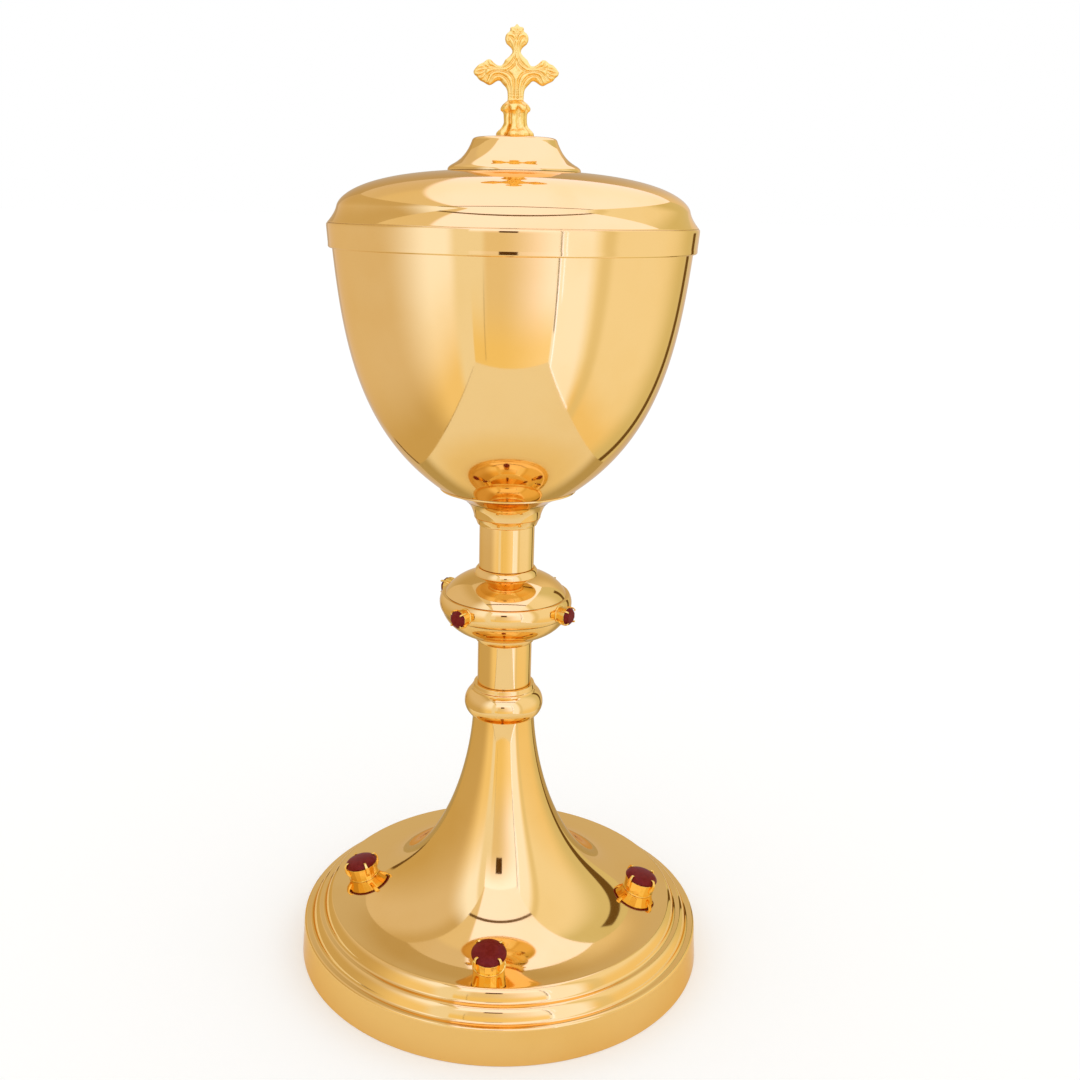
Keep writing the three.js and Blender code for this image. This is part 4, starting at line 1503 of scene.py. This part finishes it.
def right_paint(x, y, z):
    side = z.ramp(25, 105).blend(SIDE_LOW, SIDE_LIGHT)
    near = y.ramp(-170, -130).blend(PALE_LIGHT, side)
    far = y.ramp(0, 90).blend(near, DIM_LIGHT)
    band = (within(y, -132, -104, 11) * 0.8).blend(far, BAND_LIGHT)
    gap = within(y, -293, -286, 1.5) + within(y, -268, -263, 1.5) * z.ramp(110, 130)
    foot_gap = within(y, -285, -140, 5) * (1 - z.ramp(3, 6))
    gaps = (gap + foot_gap).blend(band, GAP_LIGHT)
    corner = within(y, -304, -296, 1.5) * z.ramp(60, 70)
    side_seam = within(y, 115, 152, 3) * (1 - z.ramp(210, 220))
    return (corner + side_seam).blend(gaps, SEAM_LIGHT)


def back_paint(x, y, z):
    wall = z.ramp(120, 240).blend(BACK_LIGHT, BACK_TOP)
    return (x.ramp(20, 140) * z.ramp(120, 260)).blend(wall, MIDDLE_LIGHT)


def top_paint(x, y, z):
    edge = x + 70 - y * 0.2
    far = y.ramp(40, 80)
    side = (far * 0.9 + 0.1).blend(MIDDLE_LIGHT, TAN_LIGHT)
    panel = edge.ramp(-4, 4).blend(side, BRIGHT_LIGHT)
    return within(y, -140, -126, 1.5).blend(panel, SEAM_LIGHT)


left_front = (TENT_LEFT, TENT_FRONT)
panels = (
    ("tent_front", (*left_front, 0), (TENT_RIGHT, TENT_FRONT - THICK, TENT_TOP), front_paint),
    ("tent_left", (*left_front, 0), (TENT_LEFT - THICK, TENT_BACK, TENT_TOP), left_paint),
    ("tent_right", (TENT_RIGHT, TENT_FRONT, 0), (TENT_RIGHT + THICK, TENT_BACK, TENT_TOP), right_paint),
    ("tent_back", (TENT_LEFT, TENT_BACK, 0), (TENT_RIGHT, TENT_BACK + THICK, TENT_TOP), back_paint),
    ("tent_top", (*left_front, TENT_TOP), (TENT_RIGHT, TENT_BACK, TENT_TOP + THICK), top_paint),
)
for name, here, there, paint in panels:
    tent_panel(name, (here, there), paint)
print("tent of", len(panels), "panels")

# %% [markdown]
# The floor is plain and pale, and wide enough that its edge never shows. To a camera ray it glows a
# little, so that it meets the white background, and it still takes the vessel's shadow. To a reflection
# it glows too, which is painted light: faint and warm near the foot, as painted shade, and bluish
# further out. Behind the vessel it turns a darker tan in reflections, as painted shade.

# %% Floor and background
FLOOR_SIZE = 40.0
FLOOR_COLOUR = (0.86, 0.86, 0.85)
FLOOR_LIFT = 0.165
# In reflections only, the floor behind the vessel takes this darker tan as painted shade.
FLOOR_BEHIND_SHADE = (0.52, 0.47, 0.36)
# The floor's glow in reflections is painted light: faint and warm near the foot as painted shade,
# bluish further out.
NEAR_SHADED_GLOW = (0.06, 0.02, 0.0)
REFLECTED_FLOOR_GLOW = (0.08, 0.11, 0.36)
FOOT_SHADE_REACH = (80, 150)  # from the axis, where the lift changes
BEHIND_SHADE_REACH = (40, 110)  # behind the axis, where the darker tone begins


def floor_finish():
    material, tree = new_finish("pale_floor")
    place = object_place(tree)
    x, y = (place.part(axis) for axis in "XY")
    apart = ((x * x + y * y) ** 0.5).ramp(*FOOT_SHADE_REACH)
    seen, mirrored = (
        tree.node("ShaderNodeLightPath", {}, {}, out=f"Is {ray} Ray") for ray in ("Camera", "Glossy")
    )
    # Only in reflections: painted shade behind the vessel, and a painted glow that is weaker near the
    # foot.
    behind = mirrored * y.ramp(*BEHIND_SHADE_REACH)
    lift = mirrored.blend((0.0, 0.0, 0.0), apart.blend(NEAR_SHADED_GLOW, REFLECTED_FLOOR_GLOW))
    colour = seen.blend(behind.blend(lift, (0.0, 0.0, 0.0)), (FLOOR_LIFT,) * 3)
    glow = tree.node("ShaderNodeEmission", {}, {"Color": colour, "Strength": 1.0})
    tone = behind.blend(FLOOR_COLOUR, FLOOR_BEHIND_SHADE)
    cloth = tree.node("ShaderNodeBsdfDiffuse", {}, {"Color": tone})
    both = tree.node("ShaderNodeAddShader", {}, {0: cloth, 1: glow})
    tree.node("ShaderNodeOutputMaterial", {}, {"Surface": both})
    return material


bpy.ops.object.select_all(action="DESELECT")
bpy.ops.mesh.primitive_plane_add(size=FLOOR_SIZE, location=(0, 0, 0))
floor = bpy.context.object
floor.name = "floor"
floor.data.materials.append(floor_finish())

world = bpy.data.worlds.new("studio_air")
bpy.context.scene.world = world
world.use_nodes = True
world.node_tree.nodes.clear()
air = Socket(world.node_tree)
white = air.node("ShaderNodeBackground", {}, {"Color": (1, 1, 1, 1), "Strength": 1.0})
air.node("ShaderNodeOutputWorld", {}, {"Surface": white})
print("floor and background ready")

# %% [markdown]
# The camera's place, tilt and lens were worked out from the vessel's own ellipses: how wide each
# ring looks and how open it lies. The camera stands a third of a metre away, a little below the
# lid, looks down by fifteen degrees, and leans by one.

# %% Camera
CAMERA_PLACE = (0, -0.33742, 0.22459)
CAMERA_TILT = math.radians(15.531)
CAMERA_LEAN = math.radians(1.143)
LENS = 40.13
SENSOR = 36.0
SHIFT = 0.0307
NEAREST = 0.01

camera_data = bpy.data.cameras.new("studio_camera")
camera_data.sensor_width = SENSOR
camera_data.lens = LENS
camera_data.shift_x = SHIFT
camera_data.clip_start = NEAREST
camera = bpy.data.objects.new("studio_camera", camera_data)
bpy.context.scene.collection.objects.link(camera)
camera.matrix_world = (
    Matrix.Translation(CAMERA_PLACE)
    @ Matrix.Rotation(math.radians(90) - CAMERA_TILT, 4, "X")
    @ Matrix.Rotation(CAMERA_LEAN, 4, "Z")
)
bpy.context.scene.camera = camera
bpy.context.scene.view_settings.view_transform = "Standard"
print("camera at", [round(part, 3) for part in camera.location])
